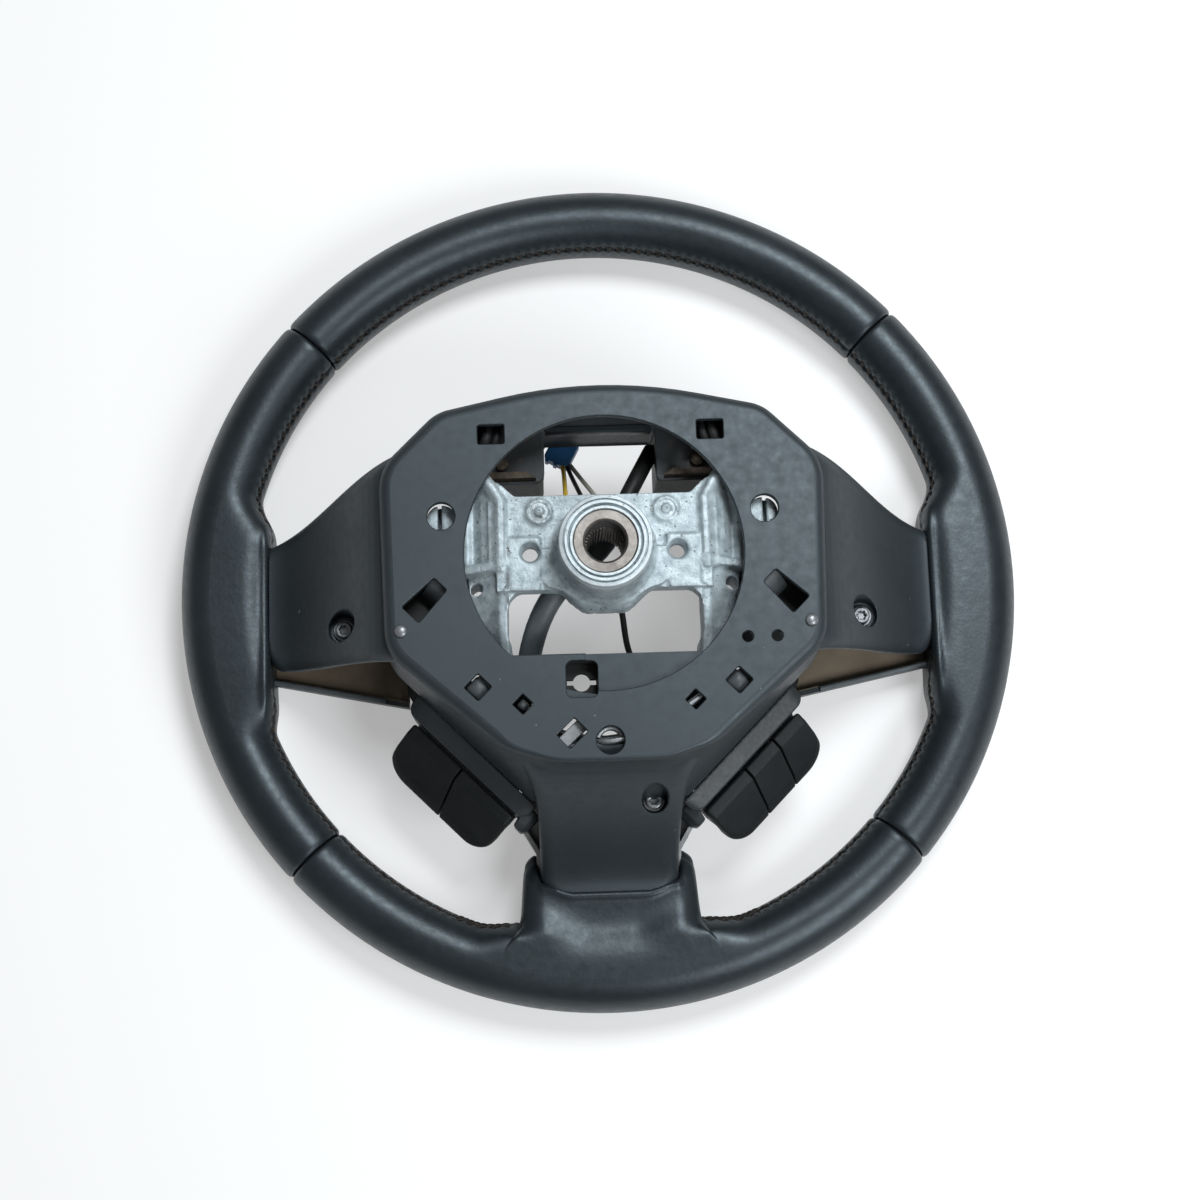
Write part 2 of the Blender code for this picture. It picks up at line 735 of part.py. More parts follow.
def make_armature(material):
    hub = prism("armature", hub_outline(), HUB_FRONT_Z, HUB_FACE_Z, material)
    for side, sign in both_sides():
        rivet_top = HUB_FACE_Z + RIVET_BOSS_RISE
        spot = (sign * RIVET_X, RIVET_Y)
        unite(hub, disc(f"rivet_boss_{side}", spot, RIVET_BOSS, HUB_FRONT_Z + FIT, rivet_top))
        shank = RIVET_SHANK + 2 * FIT
        cut(hub, disc(f"rivet_hole_{side}", spot, shank, HUB_FRONT_Z - 0.01, rivet_top + 0.01, SMALL_SIDES))
    unite(hub, prism("pad", pad_outline(), HUB_FRONT_Z + FIT, HUB_FACE_Z + PAD_RISE))
    boss_profile = [
        (BOSS_DIAMETER, HUB_FRONT_Z + 2 * FIT),
        (BOSS_DIAMETER, BOSS_FACE_Z - BOSS_CHAMFER),
        (BOSS_DIAMETER - 2 * BOSS_CHAMFER, BOSS_FACE_Z),
    ]
    unite(hub, turned("boss", (0.0, 0.0), boss_profile))
    for side, sign in both_sides():
        near, far = sign * WALL_IN_X, sign * WALL_OUT_X
        low = (min(near, far), WALL_LOW_Y, WALL_FRONT_Z)
        high = (max(near, far), EAR_Y, HUB_FACE_Z - FIT)
        unite(hub, block(f"wall_{side}", low, high))
        unite(hub, arm(side, sign), leg(side, sign))
        inner = sign * (BOSS_DIAMETER / 2 - LUG_LENGTH / 2)
        outer = sign * (BOSS_DIAMETER / 2 + LUG_LENGTH)
        low = (min(inner, outer), -LUG_WIDTH / 2, HUB_FACE_Z - FIT)
        high = (max(inner, outer), LUG_WIDTH / 2, HUB_FACE_Z + LUG_HEIGHT)
        unite(hub, block(f"lug_{side}", low, high))
        spot = (sign * ROUND_WINDOW_X, ROUND_WINDOW_Y)
        unite(hub, disc(f"window_post_{side}", spot, WINDOW_POST, 0.062, WINDOW_POST_TOP, SMALL_SIDES))
        spot = (sign * SIDE_SCREW_X, SIDE_SCREW_Y)
        seat = SIDE_WELL_FLOOR_Z - WELL_FLOOR - FIT
        unite(hub, disc(f"arm_boss_{side}", spot, SCREW_BOSS, 0.033, seat, SMALL_SIDES))
        spot = (sign * BEZEL_SCREW_X, BEZEL_SCREW_Y)
        bezel_seat = BEZEL_Z + BEZEL_THICKNESS + FIT
        unite(hub, disc(f"leg_boss_{side}", spot, SCREW_BOSS - 0.001, bezel_seat, 0.053, SMALL_SIDES))
    seat = LOWER_WELL_FLOOR_Z - WELL_FLOOR - FIT
    unite(hub, disc("lower_boss", (LOWER_SCREW_X, LOWER_SCREW_Y), SCREW_BOSS, 0.033, seat, SMALL_SIDES))
    unite(hub, *arm_ends("arm_end", 0.0), *sleeves("rod_sleeve", 0.0))
    cut(hub, disc("bush_bore", (0.0, 0.0), BUSH_DIAMETER + 2 * FIT, HUB_FRONT_Z - 0.01, BOSS_FACE_Z + 0.01))
    cut(hub, rod_torus("rod_bore", ROD_DIAMETER / 2 + FIT))
    hole = SCREW_SHANK + 2 * SCREW_FIT
    for side, sign in both_sides():
        spot = (sign * PULLER_X, PULLER_Y)
        cut(hub, disc(f"puller_{side}", spot, PULLER_HOLE, HUB_FRONT_Z - 0.01, HUB_FACE_Z + 0.02))
        top = SIDE_WELL_FLOOR_Z
        spot = (sign * SIDE_SCREW_X, SIDE_SCREW_Y)
        cut(hub, disc(f"arm_tap_{side}", spot, hole, top - COVER_SCREW_LENGTH - TAP_SPARE, top, SMALL_SIDES))
        spot = (sign * BEZEL_SCREW_X, BEZEL_SCREW_Y)
        deepest = BEZEL_Z + BEZEL_SCREW_LENGTH + TAP_SPARE
        cut(hub, disc(f"leg_tap_{side}", spot, hole, BEZEL_Z, deepest, SMALL_SIDES))
    top = LOWER_WELL_FLOOR_Z
    spot = (LOWER_SCREW_X, LOWER_SCREW_Y)
    cut(hub, disc("lower_tap", spot, hole, top - COVER_SCREW_LENGTH - TAP_SPARE, top, SMALL_SIDES))


def make_bush(material):
    """A steel bush whose bore has a ring of fine splines."""
    low, high = HUB_FRONT_Z - 0.001, BOSS_FACE_Z - BUSH_SINK
    bush = disc("hub_insert", (0.0, 0.0), BUSH_DIAMETER, low, high, material=material)
    outline = []
    for i in range(2 * SPLINES):
        turn = math.pi * i / SPLINES
        radius = BUSH_BORE / 2 + (SPLINE_DEPTH if i % 2 else 0.0)
        outline.append((radius * math.cos(turn), radius * math.sin(turn)))
    cut(bush, prism("spline_bore", outline, low - 0.01, high + 0.01))


def make_rivets(material):
    for side, sign in both_sides():
        top = HUB_FACE_Z + RIVET_BOSS_RISE
        profile = [
            (RIVET_HEAD, HUB_FRONT_Z - FIT - RIVET_RISE),
            (RIVET_HEAD, HUB_FRONT_Z - FIT),
            (RIVET_SHANK, HUB_FRONT_Z - FIT),
            (RIVET_SHANK, top + FIT),
            (RIVET_HEAD, top + FIT),
            (RIVET_HEAD * 0.8, top + FIT + RIVET_RISE),
        ]
        turned(f"hub_rivet_{side}", (sign * RIVET_X, RIVET_Y), profile, SMALL_SIDES, material)


# Rear cover


def plate_outline():
    half = [
        (0.0, PLATE_PEAK_Y),
        (PLATE_SHOULDER_X, PLATE_SHOULDER_Y),
        (PLATE_HALF_WIDTH, PLATE_SIDE_TOP_Y),
        (PLATE_SIDE_LOW_X, PLATE_SIDE_LOW_Y),
        (PLATE_LOW_X, PLATE_LOW_Y),
        (PLATE_FOOT_X, PLATE_FOOT_Y),
    ]
    radii = [0.30, 0.018, 0.022, 0.020, 0.030, 0.045]
    return rounded(mirrored(half), radii + radii[:0:-1], 4)


def skirt_outline():
    """The lower edge of the skirt: like the plate, but its slanted sides run along the pods."""
    reach = SKIRT_POD_N * math.sqrt(2)
    half = [
        (0.0, PLATE_PEAK_Y + SKIRT_FLARE),
        (PLATE_SHOULDER_X + SKIRT_FLARE, PLATE_SHOULDER_Y + SKIRT_FLARE),
        (PLATE_HALF_WIDTH + SKIRT_FLARE, PLATE_SIDE_TOP_Y + SKIRT_FLARE),
        (PLATE_HALF_WIDTH, PLATE_HALF_WIDTH - reach),
        (SKIRT_LOW_X, SKIRT_LOW_X - reach),
        (PLATE_FOOT_X, SKIRT_LOW_X - reach - SKIRT_FLARE),
    ]
    radii = [0.30, 0.018, 0.022, 0.020, 0.006, 0.006]
    return rounded(mirrored(half), radii + radii[:0:-1], 4)


def hat(name, skirt_z, skirt_inset, levels):
    """The cover's middle, or the hollow in it: the skirt's edge, then the plate's outline at each level."""
    rings = [[(x, y, skirt_z) for x, y in grown(skirt_outline(), -skirt_inset)]]
    for z, amount in levels:
        rings.append([(x, y, z) for x, y in grown(plate_outline(), amount)])
    return loft(name, rings)


def parting_z(run_to_end):
    return SPOKE_PARTING_Z + SPOKE_PARTING_SLOPE * run_to_end


def shell_ring(low, high, floor, top, edge):
    """A spoke's cross-section, (across, z): flat floor, upright sides and rounded upper edges."""
    lean = 0.3 * edge
    return [
        (low, floor),
        (low, top - edge),
        (low + lean, top - lean),
        (low + edge, top),
        (high - edge, top),
        (high - lean, top - lean),
        (high, top - edge),
        (high, floor),
    ]


def side_shell(name, sign, wall, drop):
    """A side spoke's outer solid, or with a wall the hollow inside it."""
    rings = []
    run = SIDE_END_X - SIDE_ROOT_X
    for i in range(SPOKE_STATIONS + 1):
        share = i / SPOKE_STATIONS
        x = SIDE_ROOT_X + run * share
        low = between(SIDE_ROOT_LOW_Y, SIDE_END_LOW_Y, share) + wall
        high = between(SIDE_ROOT_HIGH_Y, SIDE_END_HIGH_Y, share) - wall
        top = between(SPOKE_ROOT_Z, SPOKE_END_Z, smooth(share)) - drop
        floor = parting_z(SIDE_END_X - x) - 2 * wall
        rings.append([(sign * x, y, z) for y, z in shell_ring(low, high, floor, top, SPOKE_EDGE)])
    if wall:
        rings = extended(rings)
    return loft(name, rings)


def lower_shell(name, wall, drop):
    rings = []
    run = LOWER_END_Y - LOWER_ROOT_Y
    for i in range(SPOKE_STATIONS + 1):
        share = i / SPOKE_STATIONS
        y = LOWER_ROOT_Y + run * share
        half = LOWER_END_HALF + (LOWER_ROOT_HALF - LOWER_END_HALF) * (1 - share) ** LOWER_NARROWING - wall
        top = between(SPOKE_ROOT_Z, SPOKE_END_Z, smooth(share)) - drop
        floor = parting_z(y - LOWER_END_Y) - 2 * wall
        rings.append([(x, y, z) for x, z in shell_ring(-half, half, floor, top, SPOKE_EDGE)])
    if wall:
        rings = extended(rings)
    return loft(name, rings)


def extended(rings):
    """Rings carried on a little past both ends, so that a hollow breaks through."""
    reach = 0.004
    first = Vector(rings[1][0]) - Vector(rings[0][0])
    last = Vector(rings[-1][0]) - Vector(rings[-2][0])
    first.z = last.z = 0.0
    back = -first.normalized() * reach
    ahead = last.normalized() * reach
    start = [tuple(Vector(point) + back) for point in rings[0]]
    end = [tuple(Vector(point) + ahead) for point in rings[-1]]
    return [start] + rings[1:-1] + [rings[-1], end]


def window_cutters():
    low, high = PLATE_BACK_Z - 0.004, PLATE_FACE_Z + 0.004
    tools = []

    def window(name, outline):
        tools.append(prism(name, outline, low, high))

    for side, sign in both_sides():
        spot = (sign * TOP_WINDOW_X, TOP_WINDOW_Y)
        window(f"top_window_{side}", rectangle(spot, TOP_WINDOW_WIDTH, TOP_WINDOW_HEIGHT))
        spot = (sign * ROUND_WINDOW_X, ROUND_WINDOW_Y)
        window(f"round_window_{side}", circle(spot, ROUND_WINDOW / 2, SMALL_SIDES))
        window(f"slot_{side}", rectangle((sign * SLOT_X, SLOT_Y), SLOT_LENGTH, SLOT_WIDTH, -sign * 45))
        window(f"diamond_{side}", rectangle((sign * DIAMOND_X, DIAMOND_Y), DIAMOND, DIAMOND, 45))
        spot = (sign * SMALL_DIAMOND_X, SMALL_DIAMOND_Y)
        window(f"small_diamond_{side}", rectangle(spot, SMALL_DIAMOND, SMALL_DIAMOND, 45))
        window(f"pin_hole_{side}", circle((sign * PIN_X, PIN_Y), PIN_SHANK / 2 + FIT, SMALL_SIDES))
    window("bar_window", rectangle((BAR_WINDOW_X, BAR_WINDOW_Y), BAR_WINDOW_LENGTH, BAR_WINDOW_WIDTH, 43))
    window("wire_window", circle((0.0, WIRE_WINDOW_Y), WIRE_WINDOW / 2, SMALL_SIDES))
    for i in range(2):
        window(f"vent_{i}", circle((VENT_X + i * VENT_PITCH, VENT_Y), VENT / 2, SMALL_SIDES))
    return tools


def segment(radius, left, right, top):
    """The part of a disc below a level line, between two upright lines."""
    start = math.asin(max(-1.0, left / radius))
    end = math.asin(min(1.0, right / radius))
    steps = 12
    arc = []
    for i in range(steps + 1):
        turn = between(start, end, i / steps)
        arc.append((radius * math.sin(turn), -radius * math.cos(turn)))
    return [(arc[0][0], top)] * (arc[0][1] < top) + arc + [(arc[-1][0], top)] * (arc[-1][1] < top)


def make_panel(cover):
    """Closes the bottom of the centre hole: flush on the left, one step down on the right."""
    radius = CENTRE_HOLE / 2 + PANEL_LAP
    reach = math.sqrt(radius**2 - PANEL_TOP_Y**2) - FIT
    floor = PLATE_BACK_Z - PANEL_STEP
    unite(cover, prism("panel", segment(radius, -reach, reach, PANEL_TOP_Y), floor, PLATE_BACK_Z + 0.0005))
    flush = segment(radius, -reach, PANEL_SPLIT_X, PANEL_TOP_Y)
    unite(cover, prism("panel_flush", flush, floor, PLATE_FACE_Z))
    spot = (KEY_X, KEY_Y)
    well = rectangle(spot, KEY_WIDTH + 2 * KEY_WALL, KEY_HEIGHT + 2 * KEY_WALL)
    unite(cover, prism("key_well", well, KEY_FLOOR_Z, PLATE_BACK_Z + 0.0005))
    pocket = rounded(rectangle(spot, KEY_WIDTH, KEY_HEIGHT), [KEY_CORNER] * 4, 3)
    cut(cover, prism("key_pocket", pocket, KEY_FLOOR_Z + KEY_FLOOR, PLATE_FACE_Z + 0.01))
    cut(cover, disc("key_hole", spot, KEY_HOLE, KEY_FLOOR_Z - 0.01, PLATE_FACE_Z, SMALL_SIDES))
    bar = rectangle(spot, KEY_BAR_LENGTH, KEY_BAR_WIDTH)
    cut(cover, prism("key_bar", bar, KEY_FLOOR_Z - 0.01, PLATE_FACE_Z))


def screw_wells():
    """Each well: name, place, bore and floor height."""
    wells = [("lower", (LOWER_SCREW_X, LOWER_SCREW_Y), LOWER_WELL, LOWER_WELL_FLOOR_Z)]
    for side, sign in both_sides():
        wells.append((side, (sign * SIDE_SCREW_X, SIDE_SCREW_Y), SIDE_WELL, SIDE_WELL_FLOOR_Z))
    return wells


def make_cover(material):
    edge = PLATE_EDGE_RADIUS
    outer = (
        (PLATE_FACE_Z - edge, 0.0),
        (PLATE_FACE_Z - 0.3 * edge, -0.3 * edge),
        (PLATE_FACE_Z, -edge),
    )
    hollow = (
        (PLATE_FACE_Z - edge, -COVER_WALL),
        (PLATE_BACK_Z, -COVER_WALL - 0.3 * edge),
    )
    cover = hat("rear_cover", SKIRT_Z, 0.0, outer)
    mesh = cover.data
    mesh.materials.append(material)
    slanted = 1.7 * COVER_WALL
    unite(cover, *(side_shell(f"shell_{side}", sign, 0.0, 0.0) for side, sign in both_sides()))
    unite(cover, lower_shell("shell_lower", 0.0, 0.0))
    cut(cover, hat("cover_hollow", SKIRT_Z - 0.005, COVER_WALL, hollow))
    hollows = {side: side_shell(f"hollow_{side}", sign, COVER_WALL, slanted) for side, sign in both_sides()}
    hollows["lower"] = lower_shell("hollow_lower", COVER_WALL, slanted)
    for name, spot, bore, floor in screw_wells():
        column = disc(f"column_{name}", spot, bore + 2 * WELL_WALL, floor - WELL_FLOOR, BOSS_FACE_Z)
        cut(hollows[name], column)
        cut(cover, hollows[name])
        cut(cover, disc(f"well_{name}", spot, bore, floor, BOSS_FACE_Z))
        hole = SCREW_SHANK + 2 * SCREW_FIT
        cut(cover, disc(f"well_hole_{name}", spot, hole, floor - 0.01, floor + 0.01, SMALL_SIDES))
    low, high = PLATE_BACK_Z - 0.01, PLATE_FACE_Z + 0.01
    cut(cover, disc("centre_hole", (0.0, 0.0), CENTRE_HOLE, low, high, 2 * ROUND_SIDES))
    make_panel(cover)
    cut(cover, *window_cutters())


def screw(name, spot, seat, length, material, up=1):
    """A pan-head screw with a square recess. Its head is above the seat, or with up = -1 below it."""
    start = seat + up * FIT
    profile = [
        (SCREW_SHANK, start - up * length),
        (SCREW_SHANK, start),
        (SCREW_HEAD, start),
        (SCREW_HEAD, start + up * SCREW_HEAD_HEIGHT * 0.6),
        (SCREW_HEAD * 0.7, start + up * SCREW_HEAD_HEIGHT),
    ]
    item = turned(name, spot, profile, SMALL_SIDES, material)
    top = start + up * SCREW_HEAD_HEIGHT
    levels = sorted((top - up * SCREW_RECESS_DEPTH, top + up * 0.002))
    cut(item, prism(f"{name}_recess", rectangle(spot, SCREW_RECESS, SCREW_RECESS), *levels))


def make_cover_fasteners(screw_material, pin_material):
    for name, spot, _, floor in screw_wells():
        screw(f"cover_screw_{name}", spot, floor, COVER_SCREW_LENGTH, screw_material)
    for side, sign in both_sides():
        face = PLATE_FACE_Z + FIT
        profile = [
            (PIN_SHANK, face - PIN_LENGTH),
            (PIN_SHANK, face),
            (PIN_HEAD, face),
            (PIN_HEAD * 0.8, face + PIN_RISE * 0.6),
            (PIN_HEAD * 0.4, face + PIN_RISE),
        ]
        turned(f"cover_pin_{side}", (sign * PIN_X, PIN_Y), profile, SMALL_SIDES, pin_material)


# Front trims and bezel


def tray_ring(low, high, front, low_top, high_top, wall):
    """An open tray's cross-section, (across, z): a floor with a wall at each edge, as one bent strip."""
    return [
        (low, low_top),
        (low, front),
        (high, front),
        (high, high_top),
        (high - wall, high_top),
        (high - wall, front + wall),
        (low + wall, front + wall),
        (low + wall, low_top),
    ]


def make_side_trims(material):
    for side, sign in both_sides():
        rings = []
        for x in (TRIM_ROOT_X, SIDE_END_X):
            share = (x - TRIM_ROOT_X) / (SIDE_END_X - TRIM_ROOT_X)
            low = between(TRIM_ROOT_LOW_Y, TRIM_END_LOW_Y, share)
            high = between(TRIM_ROOT_HIGH_Y, SIDE_END_HIGH_Y, share)
            front = between(TRIM_FRONT_ROOT_Z, TRIM_FRONT_END_Z, share)
            parting = parting_z(SIDE_END_X - x) - FIT
            ring = tray_ring(low, high, front, front + TRIM_LIP, parting, TRIM_WALL)
            rings.append([(sign * x, y, z) for y, z in ring])
        loft(f"spoke_trim_{side}", rings, material)


def make_lower_trim(material):
    rings = []
    stations = (
        (LOWER_TRIM_ROOT_Y, LOWER_TRIM_ROOT_HALF),
        (LOWER_TRIM_WING_Y, LOWER_TRIM_WING_HALF),
        (LOWER_TRIM_NECK_Y, LOWER_TRIM_NECK_HALF),
        (LOWER_END_Y, LOWER_TRIM_END_HALF),
    )
    for y, half in stations:
        share = (y - LOWER_TRIM_ROOT_Y) / (LOWER_END_Y - LOWER_TRIM_ROOT_Y)
        front = between(TRIM_FRONT_ROOT_Z, TRIM_FRONT_END_Z, share)
        parting = parting_z(y - LOWER_END_Y) - FIT
        ring = tray_ring(-half, half, front, parting, parting, TRIM_WALL)
        rings.append([(x, y, z) for x, z in ring])
    loft("lower_trim", rings, material)


def pod_place(t, n, sign):
    """Plan position from t, along a pod towards six o'clock, and n, straight out from the hub axis."""
    half = math.sqrt(0.5)
    return (sign * (n - t) * half, -(n + t) * half)


def ear_places():
    middle = POD_CENTRE_T + EAR_SHIFT
    return (middle - EAR_SPREAD / 2, middle + EAR_SPREAD / 2)


def ear_spots(sign):
    return [pod_place(t, EAR_N, sign) for t in ear_places()]


def make_bezel(material):
    low, high = BEZEL_Z, BEZEL_Z + BEZEL_THICKNESS
    half = [
        (0.0, BEZEL_IN_LOW_Y),
        (0.034, BEZEL_IN_LOW_Y + 0.0035),
        (BEZEL_IN_X, -0.038),
        (BEZEL_IN_X, BEZEL_TOP_Y),
        (BEZEL_OUT_X, BEZEL_TOP_Y),
        (BEZEL_OUT_X, -0.046),
        (0.0745, -0.070),
        (0.048, -0.095),
        (0.0385, -0.095),
        (0.0385, BEZEL_LOW_Y),
        (0.0, BEZEL_LOW_Y),
    ]
    bezel = prism("front_bezel", mirrored(half), low, high, material)
    hole = SCREW_SHANK + 2 * SCREW_FIT
    for side, sign in both_sides():
        for i, spot in enumerate(ear_spots(sign)):
            unite(bezel, disc(f"post_{side}_{i}", spot, POST_DIAMETER, low + FIT, EAR_Z - FIT, SMALL_SIDES))
            tap = EAR_Z + EAR_THICKNESS - POD_SCREW_LENGTH - TAP_SPARE
            cut(bezel, disc(f"post_tap_{side}_{i}", spot, hole, tap, EAR_Z + 0.01, SMALL_SIDES))
        spot = (sign * BEZEL_SCREW_X, BEZEL_SCREW_Y)
        cut(bezel, disc(f"bezel_hole_{side}", spot, hole, low - 0.01, high + 0.01, SMALL_SIDES))


def make_bezel_screws(material):
    for side, sign in both_sides():
        spot = (sign * BEZEL_SCREW_X, BEZEL_SCREW_Y)
        screw(f"bezel_screw_{side}", spot, BEZEL_Z, BEZEL_SCREW_LENGTH, material, up=-1)


# Airbag surround, snap brackets and retainer spring


def make_surround(material):
    low = EAR_Y + FIT
    half = [
        (0.0, SURROUND_TOP_Y),
        (SURROUND_HALF_WIDTH, SURROUND_TOP_Y - 0.008),
        (SURROUND_HALF_WIDTH, low),
        (NOTCH_HALF_WIDTH, low),
        (NOTCH_HALF_WIDTH, NOTCH_TOP_Y),
        (0.0, NOTCH_TOP_Y),
    ]
    frame = prism("airbag_surround", mirrored(half), SURROUND_FRONT_Z, SURROUND_BACK_Z, material)
    lip_low = (-NOTCH_HALF_WIDTH - FIT, NOTCH_TOP_Y - SURROUND_LIP, SURROUND_FRONT_Z + FIT)
    lip_high = (NOTCH_HALF_WIDTH + FIT, NOTCH_TOP_Y + FIT, SURROUND_FRONT_Z + SURROUND_LIP_HEIGHT)
    unite(frame, block("surround_lip", lip_low, lip_high))
    for side, sign in both_sides():
        levels = (
            (SURROUND_BACK_Z - FIT, 0.0),
            (PLATE_BACK_Z - SNAP_HOOK, 0.0),
            (PLATE_BACK_Z - FIT, SNAP_ARM_DEPTH / 2),
        )
        rings = []
        for z, lean in levels:
            spot = (sign * TOP_WINDOW_X, TOP_WINDOW_Y - lean)
            rings.append([(x, y, z) for x, y in rectangle(spot, SNAP_ARM_WIDTH, SNAP_ARM_DEPTH)])
        unite(frame, loft(f"snap_arm_{side}", rings))


def make_snap_brackets(material):
    for side, sign in both_sides():
        outline = [(0.030, -0.058), (0.036, -0.068), (0.060, -0.057), (0.053, -0.047)]
        if sign < 0:
            outline = [(-x, y) for x, y in outline]
        top = BRACKET_Z + BRACKET_THICKNESS
        bracket = prism(f"snap_bracket_{side}", outline, BRACKET_Z, top, material)
        foot = rectangle((sign * BRACKET_FOOT_X, BRACKET_FOOT_Y), BRACKET_FOOT, BRACKET_FOOT)
        unite(bracket, prism(f"bracket_foot_{side}", foot, BRACKET_FOOT_Z, top - FIT))
        posts = [((sign * DIAMOND_X, DIAMOND_Y), SNAP_POST)]
        if sign < 0:
            posts.append(((sign * SMALL_DIAMOND_X, SMALL_DIAMOND_Y), SMALL_SNAP_POST))
        for i, (spot, size) in enumerate(posts):
            crown = PLATE_BACK_Z - FIT
            shoulder = crown - SNAP_DOME
            profile = [
                (size, top - FIT),
                (size, shoulder),
                (size * 0.8, between(shoulder, crown, 0.65)),
                (size * 0.4, crown),
            ]
            unite(bracket, turned(f"snap_post_{side}_{i}", spot, profile, SMALL_SIDES))


def smooth_route(points, spacing):
    """Points at an even spacing along a smooth curve through the given ones."""
    points = [Vector(point) for point in points]
    padded = [2 * points[0] - points[1]] + points + [2 * points[-1] - points[-2]]
    dense = []
    for a, b, c, d in zip(padded, padded[1:], padded[2:], padded[3:]):
        for i in range(20):
            t = i / 20
            square = 2 * a - 5 * b + 4 * c - d
            cube = 3 * b - a - 3 * c + d
            dense.append(0.5 * (2 * b + (c - a) * t + square * t**2 + cube * t**3))
    dense.append(points[-1])
    length = sum((b - a).length for a, b in zip(dense, dense[1:]))
    steps = max(2, round(length / spacing))
    route, passed, index = [dense[0]], 0.0, 0
    for k in range(1, steps):
        goal = length * k / steps
        while passed + (dense[index + 1] - dense[index]).length < goal:
            passed += (dense[index + 1] - dense[index]).length
            index += 1
        run = dense[index + 1] - dense[index]
        route.append(dense[index] + run * ((goal - passed) / run.length))
    return route + [dense[-1]]


def tube(name, points, diameter, material, resolution=2):
    curve = bpy.data.curves.new(name, "CURVE")
    curve.dimensions = "3D"
    curve.bevel_depth = diameter / 2
    curve.bevel_resolution = resolution
    curve.use_fill_caps = True
    route = smooth_route(points, 2.5 * diameter)
    spline = curve.splines.new("POLY")
    spline.points.add(len(route) - 1)
    for point, place_at in zip(spline.points, route):
        point.co = (*place_at, 1.0)
    curve.materials.append(material)
    item = bpy.data.objects.new(name, curve)
    bpy.context.scene.collection.objects.link(item)


def make_spring(material):
    z = PLATE_BACK_Z - SPRING_WIRE / 2 - FIT
    route = [
        (-0.026, -0.0705, z),
        (BAR_WINDOW_X, BAR_WINDOW_Y, z),
        (0.0, WIRE_WINDOW_Y, z),
        (0.018, -0.0735, z),
        (SMALL_DIAMOND_X, SMALL_DIAMOND_Y, z),
        (0.043, -0.057, z),
    ]
    tube("retainer_spring", route, SPRING_WIRE, material)


# Switch pods


def pod_frame(side, sign):
    """An empty whose axes run along the pod, down its face and out of its face."""
    x, y = pod_place(POD_CENTRE_T, POD_CENTRE_N, sign)
    outward = Vector((sign, -1.0, 0.0)).normalized()
    tilt = math.radians(POD_TILT)
    normal = outward * math.sin(tilt) + Vector((0.0, 0.0, math.cos(tilt)))
    down = outward * math.cos(tilt) - Vector((0.0, 0.0, math.sin(tilt)))
    along = down.cross(normal)
    frame = bpy.data.objects.new(f"pod_{side}", None)
    turn = Matrix((along, down, normal)).transposed().to_4x4()
    frame.matrix_world = Matrix.Translation((x, y, POD_CENTRE_Z)) @ turn
    bpy.context.scene.collection.objects.link(frame)
    return frame


def corner_draw(place_along, half_length, corner):
    """How far a rounded end draws the outer edge in at this place along the pod."""
    into = abs(place_along) - (half_length - corner)
    if into <= 0:
        return 0.0
    return corner - math.sqrt(max(0.0, corner**2 - into**2))


def cap_profile():
    """A button cap's section, (down, out): hub edge, crease, sloped face, rounded outer edge, underside."""
    return (
        (-0.0125, 0.0),
        (-0.0182, 0.0060),
        (-0.0136, 0.0088),
        (0.0048, 0.0087),
        (0.0110, 0.0070),
        (0.0136, 0.0035),
        (0.0122, 0.0),
    )


def cap_ring(place_along, lean, sign):
    draw = corner_draw(place_along, CAP_LENGTH / 2, CAP_CORNER)
    ring = []
    for down, out in cap_profile():
        drawn = down - draw * (1 if down > -0.010 else 0)
        ring.append((sign * (place_along + lean * down / 0.015), drawn, out))
    return ring


def button(name, start, end, leans, sign, material, frame):
    """A cap between two places along the pod, with a stem below that slides in the housing."""
    half = CAP_LENGTH / 2
    places = [start, end]
    for share in (0.0, 0.15, 0.4, 0.7, 1.0):
        for sense in (-1, 1):
            spot = sense * (half - CAP_CORNER * share)
            if start + 0.001 < spot < end - 0.001:
                places.append(spot)
    places.sort()
    rings = []
    for spot in places:
        share = (spot - start) / (end - start)
        limit = half - CAP_CORNER * 0.02
        rings.append(cap_ring(max(-limit, min(limit, spot)), between(leans[0], leans[1], share), sign))
    cap = loft(name, rings, material, parent=frame)
    limit = cavity_half() - SCREW_FIT
    low_end, high_end = max(start + STEM_INSET, -limit), min(end - STEM_INSET, limit)
    inner, outer = sign * low_end, sign * high_end
    low = (min(inner, outer), stem_low(), -STEM_DEPTH)
    high = (max(inner, outer), stem_high(), FIT)
    unite(cap, block(f"{name}_stem", low, high, parent=frame))
    return cap


def stem_low():
    return -0.0065


def stem_high():
    return 0.0060


def cavity_half():
    """Half the length of the trough that the stems slide in."""
    return CAP_LENGTH / 2 - TROUGH_SETBACK - TROUGH_WALL


def rim_level():
    """Height of the housing's rim under the caps."""
    return -BUTTON_TRAVEL - SCREW_FIT


def floor_level():
    """Height of the housing's floor: stem, travel, mat and board stand on it."""
    return -STEM_DEPTH - BUTTON_TRAVEL - SCREW_FIT - MAT - BOARD - 2 * FIT


def hub_side(out, n_offset):
    """The place down the face, at a height out of it, of an upright wall at an offset from the pod's centre."""
    tilt = math.radians(POD_TILT)
    return (n_offset - out * math.sin(tilt)) / math.cos(tilt)


